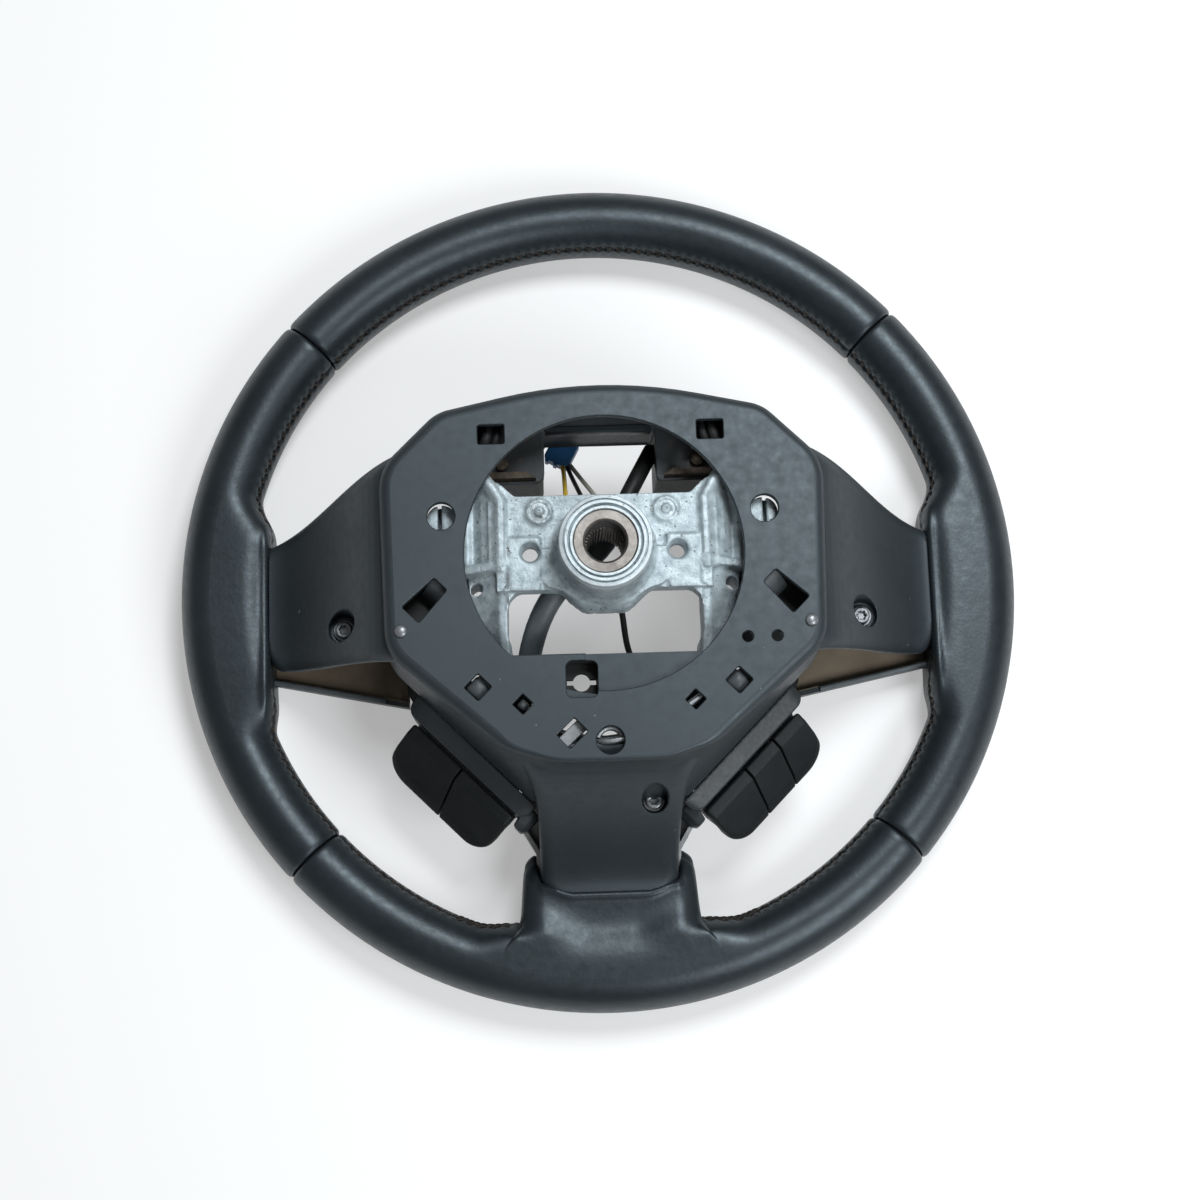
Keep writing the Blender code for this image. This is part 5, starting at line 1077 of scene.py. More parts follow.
def make_trims():
    """A tray below each side spoke, its lining, and the bar along its lower edge."""
    for side, sign in SIDES:
        rings, linings, edge = [], [], []
        for i in range(13):
            share = i / 12
            x = between(TRIM_ROOT_X, SIDE_END_X, share)
            low = between(TRIM_ROOT_Y[0], TRIM_END_Y[0], share)
            high = between(TRIM_ROOT_Y[1], TRIM_END_Y[1], share)
            front = between(TRIM_FRONT_Z[0], TRIM_FRONT_Z[1], share)
            top, inner = parting_z(SIDE_END_X - x), front + TRIM_WALL
            section = [(low, front), (high, front), (high, top), (high - TRIM_WALL, top), (high - TRIM_WALL, inner)]
            section += [(low + TRIM_WALL, inner), (low + TRIM_WALL, front + TRIM_LIP), (low, front + TRIM_LIP)]
            rings.append([(sign * x, y, z) for y, z in section])
            lining = section[3:7] + [(y - TRIM_LINING * side, z + rise) for (y, z), side, rise in zip(
                section[6:2:-1], (-1, -1, 1, 1), (0.0, TRIM_LINING, TRIM_LINING, 0.0))]
            linings.append([(sign * x, y, z) for y, z in lining])
            if x > TRIM_BAR_X:
                edge.append(Vector((sign * x, low + TRIM_WALL / 2, front + TRIM_LIP)))
        shape = bmesh.new()
        loft(shape, rings)
        node_name = f"spoke_trim_{side}"
        settle(as_object(f"tray_{side}", shape), LOOKS["housing"], replaces=[node_name])
        shape = bmesh.new()
        loft(shape, linings)
        settle(as_object(f"tray_lining_{side}", shape), LOOKS["trim"], replaces=[node_name])
        shape = bmesh.new()
        sweep(shape, edge, TRIM_BAR / 2, 16)
        settle(as_object(f"tray_bar_{side}", shape), LOOKS["sleeve"], replaces=[node_name])


# Hub casting


def mirrored_x(points, sign):
    return [(sign * x, y) for x, y in points]


def bar(shape, stations, sign=1):
    """A beam of rectangular section along X: each station is x, y low and high, z low and high."""
    rings = []
    for x, low, high, bottom, top in stations:
        rings.append([(sign * x, y, z) for y, z in ((low, bottom), (high, bottom), (high, top), (low, top))])
    loft(shape, rings)


def beam(shape, stations, sign=1):
    """A beam of rectangular section along Y: each station is its centre and half sizes."""
    rings = []
    for x, y, z, half, deep in stations:
        ring = ((x - half, z - deep), (x + half, z - deep), (x + half, z + deep), (x - half, z + deep))
        rings.append([(sign * a, y, height) for a, height in ring])
    loft(shape, rings)


def drafted(shape, outline, low, high, draft):
    """An upright body, narrower by the draft at its top."""
    loft(shape, [[(x, y, low) for x, y in outline], [(x, y, high) for x, y in grown(outline, -draft)]])


def ridge(shape, stations, sign):
    """A body along Y: each station is its y and the (x, z) corners of its section."""
    loft(shape, [[(sign * x, y, z) for x, z in corners] for y, corners in stations])


def hub_flange(low):
    """Outline of the raised flange below the boss, with a bowed edge that reaches this low."""
    half = [(0.0, 0.0024), (0.0258, 0.0024), (0.0258, -0.0112), (0.0232, -0.0134)]
    half += [(0.0215 * (1 - i / 9), -0.0140 + (low + 0.0140) * smooth(i / 6)) for i in range(10)]
    return mirrored(half)


def shoulder(inner, crest, foot):
    """Section of the casting beside the hub plate: a crest along the plate, a hollow and an outer rim."""
    return [
        (inner, 0.080),
        (inner, 0.0955),
        (inner + 0.0018, crest),
        (inner + 0.0040, crest),
        (inner + 0.0060, crest - 0.0020),
        (0.0538, foot),
        (0.0565, foot + 0.0016),
        (0.0595, foot),
        (0.0595, 0.074),
    ]


def leg(inner, top, width, drop):
    """Section of a leg of the casting: a narrow top and a broad slope outside it."""
    outer = inner + width
    return [(inner, top - 0.02), (inner, top), (inner + 0.0034, top - 0.0005), (outer, top - drop), (outer, top - 0.02)]


def hub_side(shape, sign):
    """What stands on each side of the hub plate: crest, rib, pad, fillet, leg, arm and bosses."""
    ridge(shape, [
        (-0.0065, shoulder(0.0396, 0.0974, 0.0890)),
        (-0.0010, shoulder(0.0396, 0.0984, 0.0895)),
        (0.0235, shoulder(0.0392, 0.0984, 0.0895)),
        (0.0300, shoulder(0.0430, 0.0980, 0.0895)),
        (0.0350, shoulder(0.0466, 0.0966, 0.0890)),
    ], sign)
    for x, z in ((0.0470, 0.0946), (0.0502, 0.0920)):
        prism(shape, rectangle((sign * x, 0.0105), 0.0011, 0.026), 0.085, z + 0.0009)
    ridge(shape, [
        (-0.0040, leg(0.0398, 0.0958, 0.0172, 0.0090)),
        (-0.0150, leg(0.0400, 0.0948, 0.0160, 0.0090)),
        (-0.0300, leg(0.0404, 0.0912, 0.0105, 0.0085)),
        (-0.0450, leg(0.0392, 0.0840, 0.0070, 0.0060)),
    ], sign)
    fillet = [(0.0325, -0.0140), (0.0402, -0.0140), (0.0405, -0.0225), (0.0390, -0.0180), (0.0365, -0.0156)]
    drafted(shape, mirrored_x(fillet, sign), 0.0885, HUB_FACE_Z - 0.0006, 0.0003)
    pad = rounded([(0.0255, -0.0145), (0.0405, -0.0145), (0.0405, 0.0086), (0.0255, 0.0086)], [0.0014] * 4)
    drafted(shape, mirrored_x(pad, sign), 0.090, HUB_FACE_Z + 0.0016, 0.0009)
    lip = [(0.0270, -0.0150), (0.0420, -0.0150), (0.0420, -0.0136), (0.0270, -0.0136)]
    drafted(shape, mirrored_x(lip, sign), 0.090, HUB_FACE_Z + 0.0017, 0.0003)
    bar(shape, [(0.0405, -0.0046, -0.0010, 0.070, 0.0980), (0.0600, -0.0066, -0.0034, 0.066, 0.0915)], sign)
    bar(shape, [
        (0.0500, -0.022, 0.0325, 0.070, 0.0860),
        (0.060, -0.022, 0.026, 0.063, 0.076),
        (0.090, -0.020, 0.009, 0.045, 0.055),
        (0.111, -0.020, 0.006, 0.031, 0.041),
        (0.140, -0.019, 0.001, RIM_Z - 0.005, RIM_Z + 0.005),
        (RIM_RADIUS, -0.019, 0.001, RIM_Z - 0.005, RIM_Z + 0.005),
    ], sign)
    beam(shape, [
        (0.0425, -0.034, 0.0735, 0.0032, 0.010),
        (0.0420, -0.045, 0.0720, 0.0035, 0.010),
        (0.0305, -0.074, 0.0530, 0.0050, 0.008),
        (0.0205, -0.0995, 0.0340, 0.0060, 0.006),
        (0.0140, -0.1365, RIM_Z, 0.0080, 0.005),
        (0.0140, -0.1420, RIM_Z, 0.0080, 0.005),
    ], sign)
    prism(shape, soft_rectangle((sign * 0.0192, 0.0030), 0.0030, 0.0034, 0.0, 0.0004), 0.094, 0.1135)
    turned(shape, (sign * RIVET[0], RIVET[1]), [(0.0112, 0.092), (0.0106, 0.0970), (0.0096, 0.0975), (0.0084, 0.0966)])
    post = (sign * ROUND_WINDOW[0], ROUND_WINDOW[1])
    turned(shape, post, [(0.013, 0.062), (0.013, 0.0935), (0.0118, 0.0945)])
    turned(shape, (sign * SIDE_WELL[0][0], SIDE_WELL[0][1]), [(0.011, 0.033), (0.011, 0.0527)])
    turned(shape, (sign * 0.0305, -0.074), [(0.010, 0.0274), (0.010, 0.053)])
    rings = []
    for end in (-0.013, 0.013):
        ring = circle((0.0, RIM_Z), 0.0095, 24)
        rings.append([(sign * RIM_RADIUS + a, SIDE_MOUTH_Y + end, z) for a, z in ring])
    loft(shape, rings)


def make_casting():
    shape = bmesh.new()
    half = [(0.0, 0.0255), (0.0365, 0.0255), (0.0430, 0.0315), (0.0445, 0.0315), (0.0445, -0.0145), (0.0, -0.0145)]
    prism(shape, mirrored(half), HUB_FRONT_Z, HUB_FACE_Z)
    levels = ((-0.0236, HUB_FRONT_Z), (-0.0232, 0.0945), (-0.0212, HUB_FACE_Z + 0.0014), (-0.0206, HUB_FACE_Z + 0.0018))
    loft(shape, [[(x, y, z) for x, y in hub_flange(low)] for low, z in levels])
    turned(shape, (0.0, 0.0), [(0.0436, 0.094), (0.0424, 0.0986), (0.0396, 0.1006), (0.0384, 0.1035), (0.038, 0.107)])
    turned(shape, (0.0, 0.0), [(BOSS_DIAMETER, 0.090), (BOSS_DIAMETER, BOSS_FACE_Z - 0.0040)], 96)
    for _, sign in SIDES:
        hub_side(shape, sign)
    turned(shape, LOWER_WELL[0], [(0.011, 0.033), (0.011, 0.0587)])
    foot = [(-0.022, -RIM_RADIUS), (0.022, -RIM_RADIUS), (0.022, -0.138), (-0.022, -0.138)]
    prism(shape, foot, RIM_Z - 0.005, RIM_Z + 0.005)
    rings = []
    for end in (-0.026, 0.026):
        rings.append([(end, -RIM_RADIUS + a, z) for a, z in circle((0.0, RIM_Z), 0.0095, 24)])
    loft(shape, rings)
    cuts = [bore((0.0, 0.0), BUSH_DIAMETER + 0.0003, 0.05, 0.14)]
    for _, sign in SIDES:
        place = (sign * PULLER[0], PULLER[1])
        hole = bmesh.new()
        turned(hole, place, [(0.0066, 0.05), (0.0066, 0.0944), (0.0098, 0.0985), (0.0098, 0.11)])
        cuts.append(hole)
        cuts.append(bore((sign * 0.0530, -0.0120), 0.0052, 0.05, 0.11))
        groove = bmesh.new()
        prism(groove, rectangle((sign * (ROUND_WINDOW[0] + 0.0008), ROUND_WINDOW[1]), 0.0016, 0.02), 0.088, 0.1)
        cuts.append(groove)
    for x in (-0.0045, 0.0042):
        cuts.append(bore((x, -0.0250), 0.0034, 0.08, 0.0965))
    steps = [(None, shape)] + [("DIFFERENCE", cutter) for cutter in cuts]
    item = carved("hub_casting", steps, 0.0006, 2, 90000, melt=True)
    settle(item, LOOKS["casting"], replaces=["armature"])


def make_boss_ring():
    """The face of the boss, turned in rings."""
    face = BOSS_FACE_Z
    profile = [
        (BOSS_DIAMETER, face - 0.0060),
        (BOSS_DIAMETER, face - 0.0018),
        (0.0372, face - 0.0008),
        (0.0346, face - 0.0004),
        (0.0341, face - 0.0013),
        (0.0334, face - 0.0013),
        (0.0329, face),
        (0.0308, face),
        (0.0303, face - 0.0016),
        (0.0290, face - 0.0020),
        (0.0285, face - 0.0006),
        (0.0266, face - 0.0006),
        (0.0263, face - 0.0012),
        (0.0263, face - 0.0060),
    ]
    shape = bmesh.new()
    skin(shape, [[(x, y, z) for x, y in circle((0.0, 0.0), size / 2, 128)] for size, z in profile], loop=True)
    settle(as_object("boss_ring", shape, 35), LOOKS["casting"], replaces=["armature"])


def make_bush():
    shape = bmesh.new()
    top = BOSS_FACE_Z - BUSH_SINK
    outer, counterbore, ledge = BUSH_DIAMETER / 2, 0.0083, top - BORE_DARK
    ring = [(outer, ledge), (outer, top - 0.0004), (outer - 0.0004, top), (0.0092, top), (counterbore, top - 0.0012)]
    ring.append((counterbore, ledge))
    skin(shape, [[(x, y, z) for x, y in circle((0.0, 0.0), r, 96)] for r, z in ring], loop=True)
    teeth = []
    for i in range(SPLINES):
        for share, radius in ((0.0, 0.0074), (0.32, 0.0074), (0.5, 0.0083), (0.82, 0.0083)):
            turn = 2 * math.pi * (i + share) / SPLINES
            teeth.append((radius * math.cos(turn), radius * math.sin(turn)))
    plate(shape, circle((0.0, 0.0), outer - 0.0001, 96), [teeth], HUB_FRONT_Z - 0.001, ledge + 0.0002, 0.0003)
    settle(as_object("splined_bush", shape), LOOKS["bush"], replaces=["hub_insert"])
    # A black lining on the counterbore's wall: painted shade down the bore, with some grease
    shape = bmesh.new()
    lining = counterbore - 0.0001
    low, high = ledge + 0.0004, top - 0.0014
    sleeve = [(counterbore, low), (counterbore, high), (lining, high), (lining, low)]
    skin(shape, [[(x, y, z) for x, y in circle((0.0, 0.0), r, 96)] for r, z in sleeve], loop=True)
    settle(as_object("bush_bore", shape), LOOKS["black"], replaces=["hub_insert"])


def make_rivets():
    for side, sign in SIDES:
        shape = bmesh.new()
        spot = (sign * RIVET[0], RIVET[1])
        profile = [(0.0074, 0.0845), (0.0074, 0.0868), (0.006, 0.0868), (0.006, 0.0962), (0.0076, 0.0964)]
        profile += [(0.0072, 0.0968), (0.0050, 0.0970)]
        profile += [(0.0046 * math.cos(t), 0.0970 + 0.0013 * math.sin(t)) for t in (0.0, 0.35, 0.7, 1.0, 1.25)]
        profile += [(0.0010, 0.0980), (0.0005, 0.0977)]
        turned(shape, spot, profile)
        settle(as_object(f"rivet_{side}", shape, 50), LOOKS["casting"], replaces=[f"hub_rivet_{side}"])


# Fasteners


def star(spot, inner, outer, lobes, phase=0.3):
    outline = []
    for i in range(lobes * 8):
        turn = 2 * math.pi * i / (lobes * 8)
        radius = between(inner, outer, 0.5 + 0.5 * math.cos(lobes * turn + phase))
        outline.append((spot[0] + radius * math.cos(turn), spot[1] + radius * math.sin(turn)))
    return outline


def make_fasteners():
    wells = [("lower", LOWER_WELL, 1)] + [(side, SIDE_WELL, sign) for side, sign in SIDES]
    for name, (place, _, floor), sign in wells:
        spot = (sign * place[0], place[1])
        seat = floor + 0.0003
        shape = bmesh.new()
        turned(shape, spot, [(0.004, seat - 0.012), (0.004, seat - 0.0001)], 20)
        turned(shape, spot, [(0.0094, seat), (0.0094, seat + 0.0005), (0.0088, seat + 0.0009)])
        recess = star(spot, 0.0013, 0.0019, 6)
        plate(shape, circle(spot, 0.0036), [recess], seat + 0.0008, seat + 0.0034, 0.0007)
        prism(shape, grown(recess, 0.0002), seat + 0.0007, seat + 0.0016)
        kind = "pin" if name == "lower" else "steel"
        settle(as_object(f"screw_{name}", shape), LOOKS[kind], replaces=[f"cover_screw_{name}"])
    for side, sign in SIDES:
        shape = bmesh.new()
        face = PLATE_FACE_Z + 0.0003
        profile = [(0.0026, face - 0.009), (0.0026, face), (0.005, face)]
        profile += [(0.005 * math.cos(t), face + 0.0003 + 0.0012 * math.sin(t)) for t in (0.0, 0.3, 0.6, 0.9, 1.2, 1.4)]
        turned(shape, (sign * 0.0836, -0.031), profile, 32)
        settle(as_object(f"pin_{side}", shape), LOOKS["pin"], replaces=[f"cover_pin_{side}"])


# Behind the windows of the cover


def make_window_backs():
    """Ramps of the cover that show in its slots, drawn in the lighter bracket grey as painted light, and the dark
    ribs and walls behind its windows.
    """
    shape, behind = bmesh.new(), bmesh.new()
    for _, sign in SIDES:
        spot = (sign * 0.0454, 0.0506)
        prism(behind, soft_rectangle((spot[0], spot[1] + 0.0015), 0.0145, 0.0125), 0.0866, 0.0878)
        for k, start in enumerate((-0.0012, 0.0030)):
            route = []
            for i in range(9):
                t = i / 8
                x = spot[0] - sign * start + sign * 0.0036 * t * t
                route.append(Vector((x, spot[1] + 0.0062 - 0.0120 * t, 0.0900 + 0.0035 * math.sin(math.pi * t))))
            sweep(behind, route, 0.0022 - 0.0006 * k, 12)
        turn = Matrix.Rotation(math.radians(-sign * 45), 2)
        slot = Vector((sign * SLOT[0], SLOT[1]))
        prism(behind, soft_rectangle(slot, 0.024, 0.014, -sign * 45), 0.0850, 0.0862)
        rings = []
        for along, z in ((0.0010, 0.0905), (0.0040, 0.0950), (0.0068, 0.0984), (0.0092, 0.0990)):
            ring = []
            for across, drop in ((-0.0042, 0.0), (0.0042, 0.0), (0.0042, 0.0015), (-0.0042, 0.0015)):
                x, y = turn @ Vector((-sign * along, across)) + slot
                ring.append((x, y, z - drop))
            rings.append(ring)
        loft(shape, rings)
    # The ramps are cover plastic drawn lighter than the cover: painted light on their slopes
    settle(as_object("lit_slot_ramps", shape), LOOKS["bracket"], replaces=["rear_cover"])
    settle(as_object("window_walls", behind), LOOKS["dark"], replaces=["rear_cover"])


def make_brackets():
    for side, sign in SIDES:
        outline = [(0.030, -0.058), (0.036, -0.068), (0.060, -0.057), (0.053, -0.047)]
        shape = bmesh.new()
        plate(shape, rounded(mirrored_x(outline, sign), [0.003] * 4), [], 0.084, 0.087, 0.0006)
        prism(shape, soft_rectangle((sign * 0.039, -0.058), 0.006, 0.006), 0.0758, 0.0865)
        posts = [((sign * 0.053, -0.0546), 0.0078)]
        if sign < 0:
            posts.append(((sign * 0.035, -0.062), 0.0040))
        for spot, size in posts:
            rings = []
            levels = [(1.0, 0.0865), (1.0, 0.0968)]
            levels += [(math.cos(t), 0.0968 + 0.0028 * math.sin(t)) for t in (0.3, 0.6, 0.85, 1.1, 1.3, 1.45)]
            for share, z in levels:
                corner = between(0.2, 0.48, 1 - share) * size * share
                rings.append([(x, y, z) for x, y in soft_rectangle(spot, size * share, size * share, 45, corner)])
            loft(shape, rings)
        settle(as_object(f"bracket_{side}", shape), LOOKS["bracket"], replaces=[f"snap_bracket_{side}"])


def make_spring():
    z = PLATE_BACK_Z - 0.0018
    route = [
        (-0.026, -0.0705, z - 0.0070),
        (-0.0154, -0.0743, z - 0.0065),
        (-0.0075, -0.0763, z - 0.0030),
        (0.0, -0.0776, z),
        (0.018, -0.0735, z),
        (0.035, -0.062, z),
        (0.043, -0.057, z),
    ]
    shape = bmesh.new()
    sweep(shape, smooth_route(route, 0.002), 0.0015, 14)
    arch = []
    for i in range(13):
        turn = math.radians(between(15, 165, i / 12))
        arch.append(Vector((0.0052 * math.cos(turn), -0.0772 + 0.0052 * math.sin(turn), z - 0.0005)))
    sweep(shape, arch, 0.0013, 12)
    settle(as_object("spring", shape), LOOKS["steel"], replaces=["retainer_spring"])
    shape = bmesh.new()
    plate(shape, soft_rectangle((-0.0154, -0.0743), 0.0150, 0.0054, 43), [], z - 0.0030, z + 0.0004, 0.0004)
    settle(as_object("spring_bar", shape), LOOKS["pin"], replaces=["retainer_spring"])


# Airbag surround


def make_surround():
    shape, lip, lumps = bmesh.new(), bmesh.new(), bmesh.new()
    half = [(0.0, 0.066), (0.056, 0.058), (0.056, 0.0348), (0.024, 0.0348), (0.024, 0.0575), (0.0, 0.0575)]
    radii = [0.1, 0.012, 0.004, 0.0015, 0.004, 0.1]
    prism(shape, rounded(mirrored(half), radii + radii[:0:-1]), 0.042, 0.078)
    opening = bmesh.new()
    levels = ((0.040, 0.0608), (0.043, 0.0594), (0.0445, 0.0604), (0.080, 0.0575))
    loft(opening, [[(x, y, z) for x, y in rectangle((0.0, high - 0.01), 0.047, 0.02)] for z, high in levels])
    for _, sign in SIDES:
        prism(shape, rectangle((sign * 0.0454, 0.0506), 0.006, 0.003), 0.0777, 0.0885)
        turned(shape, (sign * 0.0490, 0.0440), [(0.005, 0.076), (0.0048, 0.081), (0.003, 0.0825)], 24)
    item = carved("surround", [(None, shape), ("DIFFERENCE", opening)], 0.0006, 3, 60000, melt=True)
    settle(item, LOOKS["surround"], replaces=["airbag_surround"])
    bar(lip, [(-0.0225, 0.0572, 0.0592, 0.070, 0.0788), (0.0225, 0.0572, 0.0592, 0.070, 0.0788)])
    settle(as_object("surround_lip", lip), LOOKS["cover"], replaces=["airbag_surround"])
    for _, sign in SIDES:
        block = [(0.027, 0.0358), (0.050, 0.0358), (0.047, 0.0405), (0.031, 0.0405)]
        drafted(lumps, mirrored_x(block, sign), 0.0770, 0.0812, 0.0010)
        turned(lumps, (sign * 0.0415, 0.0435), [(0.006, 0.077), (0.0056, 0.0805), (0.003, 0.0815)], 20)
    settle(as_object("surround_lumps", lumps), LOOKS["rust"], replaces=["airbag_surround"])


# Switch pods


def pod_matrix(sign):
    """The pod's own frame: along the pod, down its face, and out of its face."""
    half = math.sqrt(0.5)
    spot = (sign * (POD_CENTRE_N - POD_CENTRE_T) * half, -(POD_CENTRE_N + POD_CENTRE_T) * half, POD_CENTRE_Z)
    outward = Vector((sign, -1.0, 0.0)).normalized()
    tilt = math.radians(POD_TILT)
    normal = outward * math.sin(tilt) + Vector((0.0, 0.0, math.cos(tilt)))
    down = outward * math.cos(tilt) - Vector((0.0, 0.0, math.sin(tilt)))
    along = down.cross(normal)
    return Matrix.Translation(spot) @ Matrix((along, down, normal)).transposed().to_4x4()


def corner_draw(place, half_length, corner):
    """How far a rounded end draws the outer edge in at this place along the pod."""
    into = min(corner, abs(place) - (half_length - corner))
    if into <= 0:
        return 0.0
    return corner - math.sqrt(max(0.0, corner**2 - into**2))


def cap_section(draw, shrink):
    """A cap's section, (down, out), with soft edges: hub edge, crease, face, rounded outer edge."""
    corners = [
        (-0.0125, 0.0),
        (-0.0182, 0.0060),
        (-0.0136, 0.0088),
        (0.0048 - draw, 0.0087),
        (0.0110 - draw, 0.0070),
        (0.0136 - draw, 0.0035),
        (0.0122 - draw, 0.0),
    ]
    outline = rounded(corners, [0.0004, 0.0012, 0.0022, 0.010, 0.005, 0.003, 0.0006], 7)
    return grown(outline, -shrink)


def make_cap(name, node_name, body, start, end, leans, sign):
    """One button's cap, with rounded edges along its grooves."""
    half = CAP_LENGTH / 2
    shape = bmesh.new()
    soft_start = BUTTON_EDGE if leans[0] else CAP_EDGE
    soft_end = BUTTON_EDGE if leans[1] else CAP_EDGE
    places = []
    for k in range(6):
        turn = math.pi / 2 * k / 5
        places.append((start + soft_start * (1 - math.sin(turn)), soft_start * (1 - math.cos(turn))))
        places.append((end - soft_end * (1 - math.sin(turn)), soft_end * (1 - math.cos(turn))))
    count = round((end - start) / 0.0012)
    for i in range(1, count):
        place = between(start, end, i / count)
        if start + soft_start < place < end - soft_end:
            places.append((place, 0.0))
    rings = []
    for place, shrink in sorted(places):
        share = (place - start) / (end - start)
        lean = between(leans[0], leans[1], share)
        draw = corner_draw(place, half + 0.0004, CAP_CORNER)
        ring = []
        for down, out in cap_section(draw, shrink):
            bent = lean * (down / 0.015 + 0.3 * math.sin(down / 0.006))
            ring.append((sign * (place + bent), down, out))
        rings.append(ring)
    loft(shape, rings)
    bmesh.ops.transform(shape, matrix=pod_matrix(sign), verts=shape.verts)
    settle(as_object(name, shape, 55), LOOKS["button"], body, [node_name])


def make_housing(side, sign):
    """The pod's trough, the raised strip between it and the cover, and its fixing ears."""
    half, rim, bottom = CAP_LENGTH / 2 - 0.0006, -0.0016, -0.0108
    tilt = math.radians(POD_TILT)

    def upright(n, z):
        """Down and out of a place at n from the pod's centre and z above it."""
        return (n * math.cos(tilt) - z * math.sin(tilt), n * math.sin(tilt) + z * math.cos(tilt))

    def hub_edge(out, n):
        return (n - out * math.sin(tilt)) / math.cos(tilt)

    shape = bmesh.new()
    rings = []
    for i in range(33):
        spot = half * math.sin(math.pi * (i / 32 - 0.5))
        draw = corner_draw(spot, half + 0.0001, 0.009)
        ring = [
            (hub_edge(rim, POD_FACE_N), rim),
            (0.0094 - draw, rim),
            (0.0088 - draw, bottom),
            (hub_edge(bottom, POD_WALL_N), bottom),
            (hub_edge(rim, POD_WALL_N), rim),
        ]
        rings.append([(sign * spot, down, out) for down, out in ring])
    loft(shape, rings)
    rings = []
    reach = STRIP_LENGTH / 2
    for i in range(41):
        spot = reach * math.sin(math.pi * (i / 40 - 0.5))
        draw = corner_draw(spot, reach, STRIP_CORNER)
        wall = [
            (POD_WALL_N, -0.004),
            (POD_FACE_N - min(draw, 0.0025), -0.004),
            (POD_FACE_N - draw, 0.0185 - draw / 4),
            (POD_FACE_N - STRIP_WIDTH, STRIP_TOP - draw / 4),
            (POD_FACE_N - STRIP_WIDTH, STRIP_TOP - 0.0035),
            (POD_WALL_N, 0.0167 - draw / 4),
        ]
        ring = [upright(n, z) for n, z in wall]
        rings.append([(sign * (STRIP_SHIFT + spot), down, out) for down, out in ring])
    loft(shape, rings)
    past_cap = CAP_LENGTH / 2 + 0.0008
    rings = []
    for along, face, top in GUSSET:
        section = [(-0.0165, -0.005), (face, -0.005), (face, top - 0.004), (face - 0.003, top), (-0.0165, top + 0.002)]
        ring = [upright(n, z) for n, z in section]
        rings.append([(sign * (past_cap + along), down, out) for down, out in ring])
    loft(shape, rings)
    bmesh.ops.transform(shape, matrix=pod_matrix(sign), verts=shape.verts)
    root = math.sqrt(0.5)
    for t in (POD_CENTRE_T - 0.003 - 0.019, POD_CENTRE_T - 0.003 + 0.019):
        n = (0.088 + 0.0995) / 2
        middle = (sign * (n - t) * root, -(n + t) * root)
        prism(shape, rectangle(middle, 0.0115, 0.010, -sign * 45), 0.044, 0.0465)
    cut = bmesh.new()
    inner = half - 0.0025
    ring = [(-inner, -0.0069), (inner, -0.0069), (inner, 0.0064), (-inner, 0.0064)]
    prism(cut, ring, -0.0083, 0.01)
    bmesh.ops.transform(cut, matrix=pod_matrix(sign), verts=cut.verts)
    item = carved(f"housing_{side}", [(None, shape), ("DIFFERENCE", cut)], 0.0005, 3, 60000, melt=True)
    settle(item, LOOKS["housing"], replaces=[f"pod_housing_{side}"])


def make_pods():
    pods = (
        ("left", -1, LEFT_GROOVES, ("upper", "lower")),
        ("right", 1, RIGHT_GROOVES, ("upper", "middle", "lower")),
    )
    for side, sign, grooves, names in pods:
        make_housing(side, sign)
        edges = [-CAP_LENGTH / 2, *grooves, CAP_LENGTH / 2]
        for i, name in enumerate(names):
            first, last = i == 0, i == len(names) - 1
            start = edges[i] + (0.0 if first else BUTTON_GROOVE / 2)
            end = edges[i + 1] - (0.0 if last else BUTTON_GROOVE / 2)
            leans = (0.0 if first else GROOVE_LEAN, 0.0 if last else GROOVE_LEAN)
            node_name, body = f"button_{side}_{name}", f"{side}_{name}_button"
            make_cap(f"cap_{side}_{name}", node_name, body, start, end, leans, sign)


# Wiring


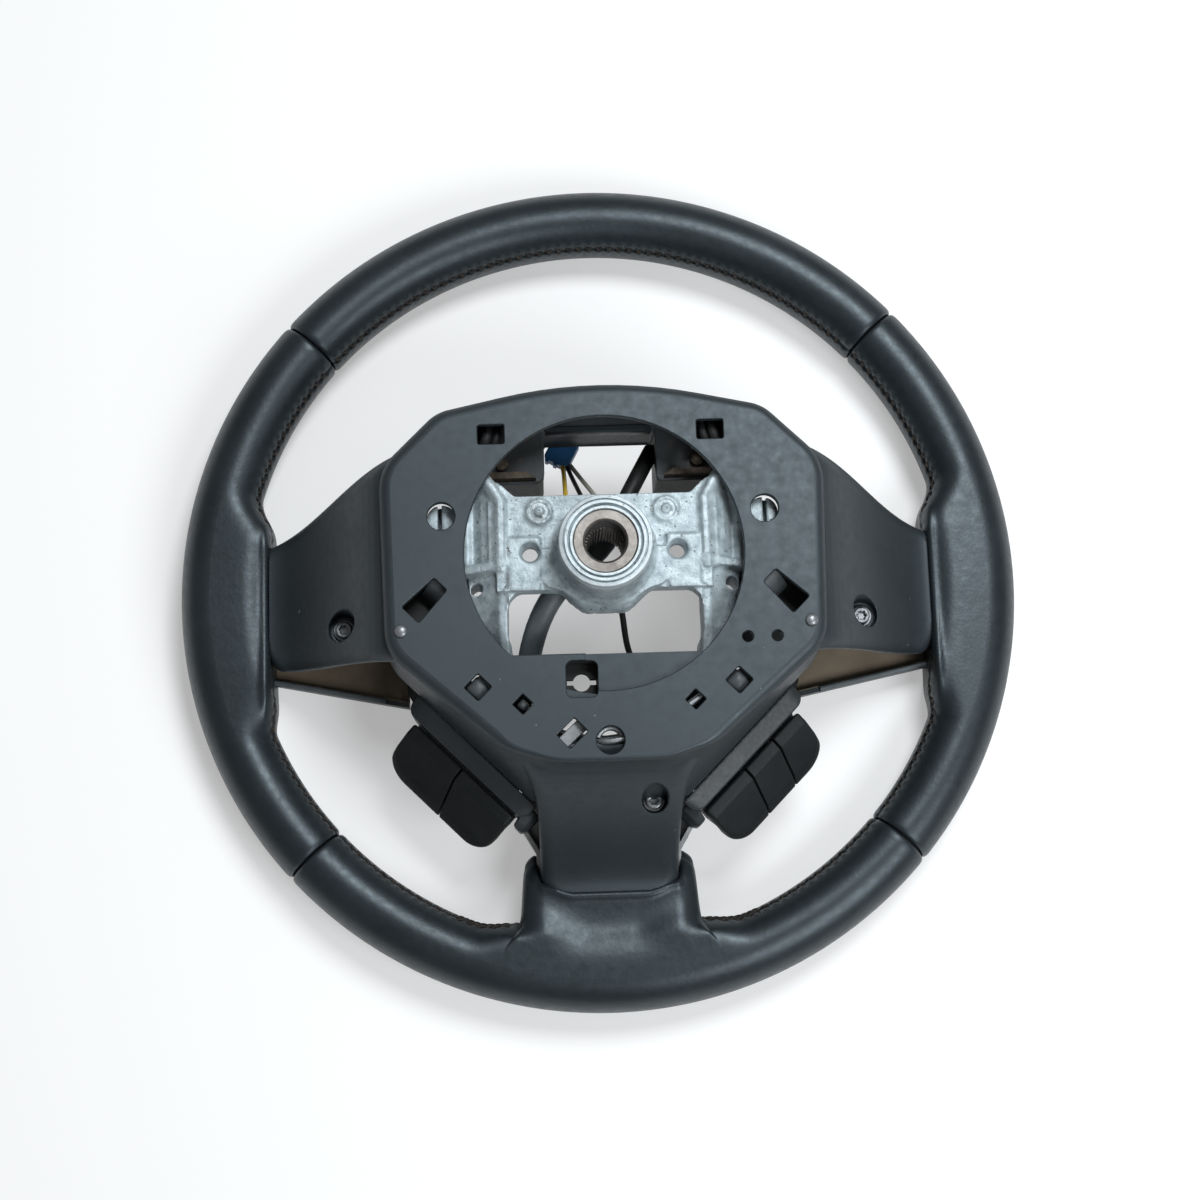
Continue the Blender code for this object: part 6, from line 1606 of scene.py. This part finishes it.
def make_wiring():
    upper = [(0.0232, 0.0525, 0.0600), (0.0165, 0.0390, 0.0700), (0.0085, 0.0235, 0.0752)]
    lower = [
        upper[-1],
        (0.0010, 0.0090, 0.0770),
        (-0.0080, 0.0000, 0.0770),
        (-0.0205, -0.0125, 0.0770),
        (-0.0270, -0.0230, 0.0745),
        (-0.0310, -0.0335, 0.0680),
        (-0.0345, -0.0450, 0.0545),
        (-0.0440, -0.0555, 0.0440),
        (-0.0560, -0.0655, 0.0455),
        (-0.0648, -0.0722, 0.0480),
    ]
    routes = (
        # The sleeve's upper end, tucked under the surround, is drawn black: painted shade on the same grey sleeve
        ("sleeve_upper_shaded", "harness_sleeve", 0.0072, upper, "black"),
        ("sleeve_lower", "harness_sleeve", 0.0098, lower, "sleeve"),
        ("wire_yellow", "lead_yellow", 0.002, [(-0.0155, 0.0530, 0.0390), (-0.0150, 0.0470, 0.0450),
         (-0.0146, 0.0330, 0.0600), (-0.0140, 0.0230, 0.0710), (-0.0120, 0.0150, 0.0760)], "yellow"),
        ("wire_white", "lead_white", 0.002, [(-0.0125, 0.0530, 0.0390), (-0.0075, 0.0440, 0.0470),
         (-0.0005, 0.0310, 0.0600), (0.0022, 0.0225, 0.0685), (0.0022, 0.0190, 0.0710)], "white"),
        ("wire_black", "lead_black", 0.002, [(-0.0138, 0.0530, 0.0390), (-0.0115, 0.0450, 0.0460),
         (-0.0070, 0.0310, 0.0600), (-0.0045, 0.0220, 0.0700), (-0.0040, 0.0175, 0.0735)], "black"),
        ("pod_lead", "right_pod_lead", 0.0026, [(0.0065, -0.0165, HUB_FRONT_Z - 0.0014), (0.0075, -0.0235, 0.0780),
         (0.0105, -0.0380, 0.0680), (0.0200, -0.0510, 0.0540), (0.0330, -0.0590, 0.0460),
         (0.0480, -0.0665, 0.0450), (0.0628, -0.0745, 0.0480)], "black"),
    )
    for name, node_name, size, points, kind in routes:
        shape = bmesh.new()
        sweep(shape, smooth_route(points, 0.4 * size), size / 2, 20)
        settle(as_object(name, shape), LOOKS[kind], replaces=[node_name])
    shape = bmesh.new()
    plug = Vector((-0.0155, 0.0588))
    outline = soft_rectangle(plug, 0.012, 0.0135, -28, 0.0020)
    plate(shape, outline, [], 0.0347, 0.0417, 0.0008)
    for k in range(3):
        turn = Matrix.Rotation(math.radians(-28), 2)
        x, y = turn @ Vector((-0.004 + 0.004 * k, -0.0070)) + plug
        plate(shape, soft_rectangle((x, y), 0.0016, 0.0012, -28, 0.0003), [], 0.0352, 0.0412, 0.0003)
    settle(as_object("connector", shape), LOOKS["connector"], replaces=["airbag_connector"])


make_rim()
make_plate()
make_panel()
make_spoke_shells()
make_trims()
make_casting()
make_boss_ring()
make_bush()
make_rivets()
make_fasteners()
make_window_backs()
make_brackets()
make_spring()
make_surround()
make_pods()
make_wiring()


# Camera, light and stage


def make_camera():
    tilt, side, roll = (math.radians(v) for v in (VIEW_TILT, VIEW_SIDE, VIEW_ROLL))
    back = Vector((-math.sin(side), -math.sin(tilt), 0.0))
    back.z = math.sqrt(1 - back.length_squared)
    right = Vector((0.0, 1.0, 0.0)).cross(back).normalized()
    up = back.cross(right)
    turned_right = right * math.cos(roll) - up * math.sin(roll)
    turned_up = right * math.sin(roll) + up * math.cos(roll)
    shift_x = (PICTURE_PX / 2 - CENTRE_PX[0]) / FOCAL_PX
    shift_y = (PICTURE_PX / 2 - CENTRE_PX[1]) / FOCAL_PX
    aim = (turned_right * shift_x - turned_up * shift_y - back).normalized()
    z_axis = -aim
    x_axis = turned_up.cross(z_axis).normalized()
    y_axis = z_axis.cross(x_axis)
    data = bpy.data.cameras.new("camera")
    data.sensor_width = SENSOR_MM
    data.lens = FOCAL_PX / PICTURE_PX * SENSOR_MM
    data.clip_start = 0.01
    camera = bpy.data.objects.new("camera", data)
    turn = Matrix((x_axis, y_axis, z_axis)).transposed().to_4x4()
    eye = Vector((0.0, 0.0, VIEW_CENTRE_Z)) + back * VIEW_DISTANCE
    camera.matrix_world = Matrix.Translation(eye) @ turn
    bpy.context.scene.collection.objects.link(camera)
    bpy.context.scene.camera = camera


def make_lamp(name, place, size, power, colour):
    data = bpy.data.lights.new(name, "AREA")
    data.shape = "DISK"
    data.size = size
    data.energy = power
    data.color = colour
    lamp = bpy.data.objects.new(name, data)
    lamp.location = place
    lamp.rotation_euler = (-Vector(place)).to_track_quat("-Z", "Y").to_euler()
    bpy.context.scene.collection.objects.link(lamp)


def seen_rays(tree):
    """One where a ray comes from the camera, a mirror or glass."""
    path = node(tree, "ShaderNodeLightPath")
    total = path.outputs["Is Camera Ray"]
    for name in ("Is Glossy Ray", "Is Transmission Ray"):
        either = node(tree, "ShaderNodeMath", operation="MAXIMUM")
        tree.links.new(total, either.inputs[0])
        tree.links.new(path.outputs[name], either.inputs[1])
        total = either.outputs[0]
    return total


def make_world():
    world = bpy.data.worlds.new("world")
    world.use_nodes = True
    bpy.context.scene.world = world
    background = world.node_tree.nodes["Background"]
    background.inputs["Color"].default_value = (1.0, 1.0, 1.0, 1.0)
    background.inputs["Strength"].default_value = 0.20


def make_floor():
    shape = bmesh.new()
    bmesh.ops.create_grid(shape, x_segments=1, y_segments=1, size=6.0)
    floor = as_object("floor", shape)
    floor.location.z = -0.0003
    material = bpy.data.materials.new("floor")
    material.use_nodes = True
    tree = material.node_tree
    shader = tree.nodes["Principled BSDF"]
    shader.inputs["Base Color"].default_value = (0.60, 0.60, 0.60, 1.0)
    shader.inputs["Roughness"].default_value = 1.0
    shader.inputs["Specular IOR Level"].default_value = 0.0
    shader.inputs["Emission Color"].default_value = (1.0, 1.0, 1.0, 1.0)
    tree.links.new(remap(tree, seen_rays(tree), 0.0, 1.0, 0.0, 0.36), shader.inputs["Emission Strength"])
    through = node(tree, "ShaderNodeBsdfTransparent")
    either = node(tree, "ShaderNodeMixShader")
    tree.links.new(node(tree, "ShaderNodeNewGeometry").outputs["Backfacing"], either.inputs[0])
    tree.links.new(shader.outputs[0], either.inputs[1])
    tree.links.new(through.outputs[0], either.inputs[2])
    tree.links.new(either.outputs[0], tree.nodes["Material Output"].inputs["Surface"])
    floor.data.materials.append(material)


make_camera()
make_lamp("key", (0.30, 0.50, 1.22), 0.5, 13.0, (0.96, 1.0, 1.03))
make_lamp("fill", (0.55, -0.60, 0.90), 0.6, 8.0, (0.96, 1.0, 1.03))
make_world()
make_floor()
bpy.context.scene.view_settings.view_transform = "Standard"

# Looks of the solids that stay

for node_name, item in frame["nodes"].items():
    if item.hide_render:
        continue
    kind = next(s["material_slot"] for s in frame["record"]["subparts"] if s["node"] == node_name)
    item.data.materials.clear()
    item.data.materials.append(LOOKS[kind])
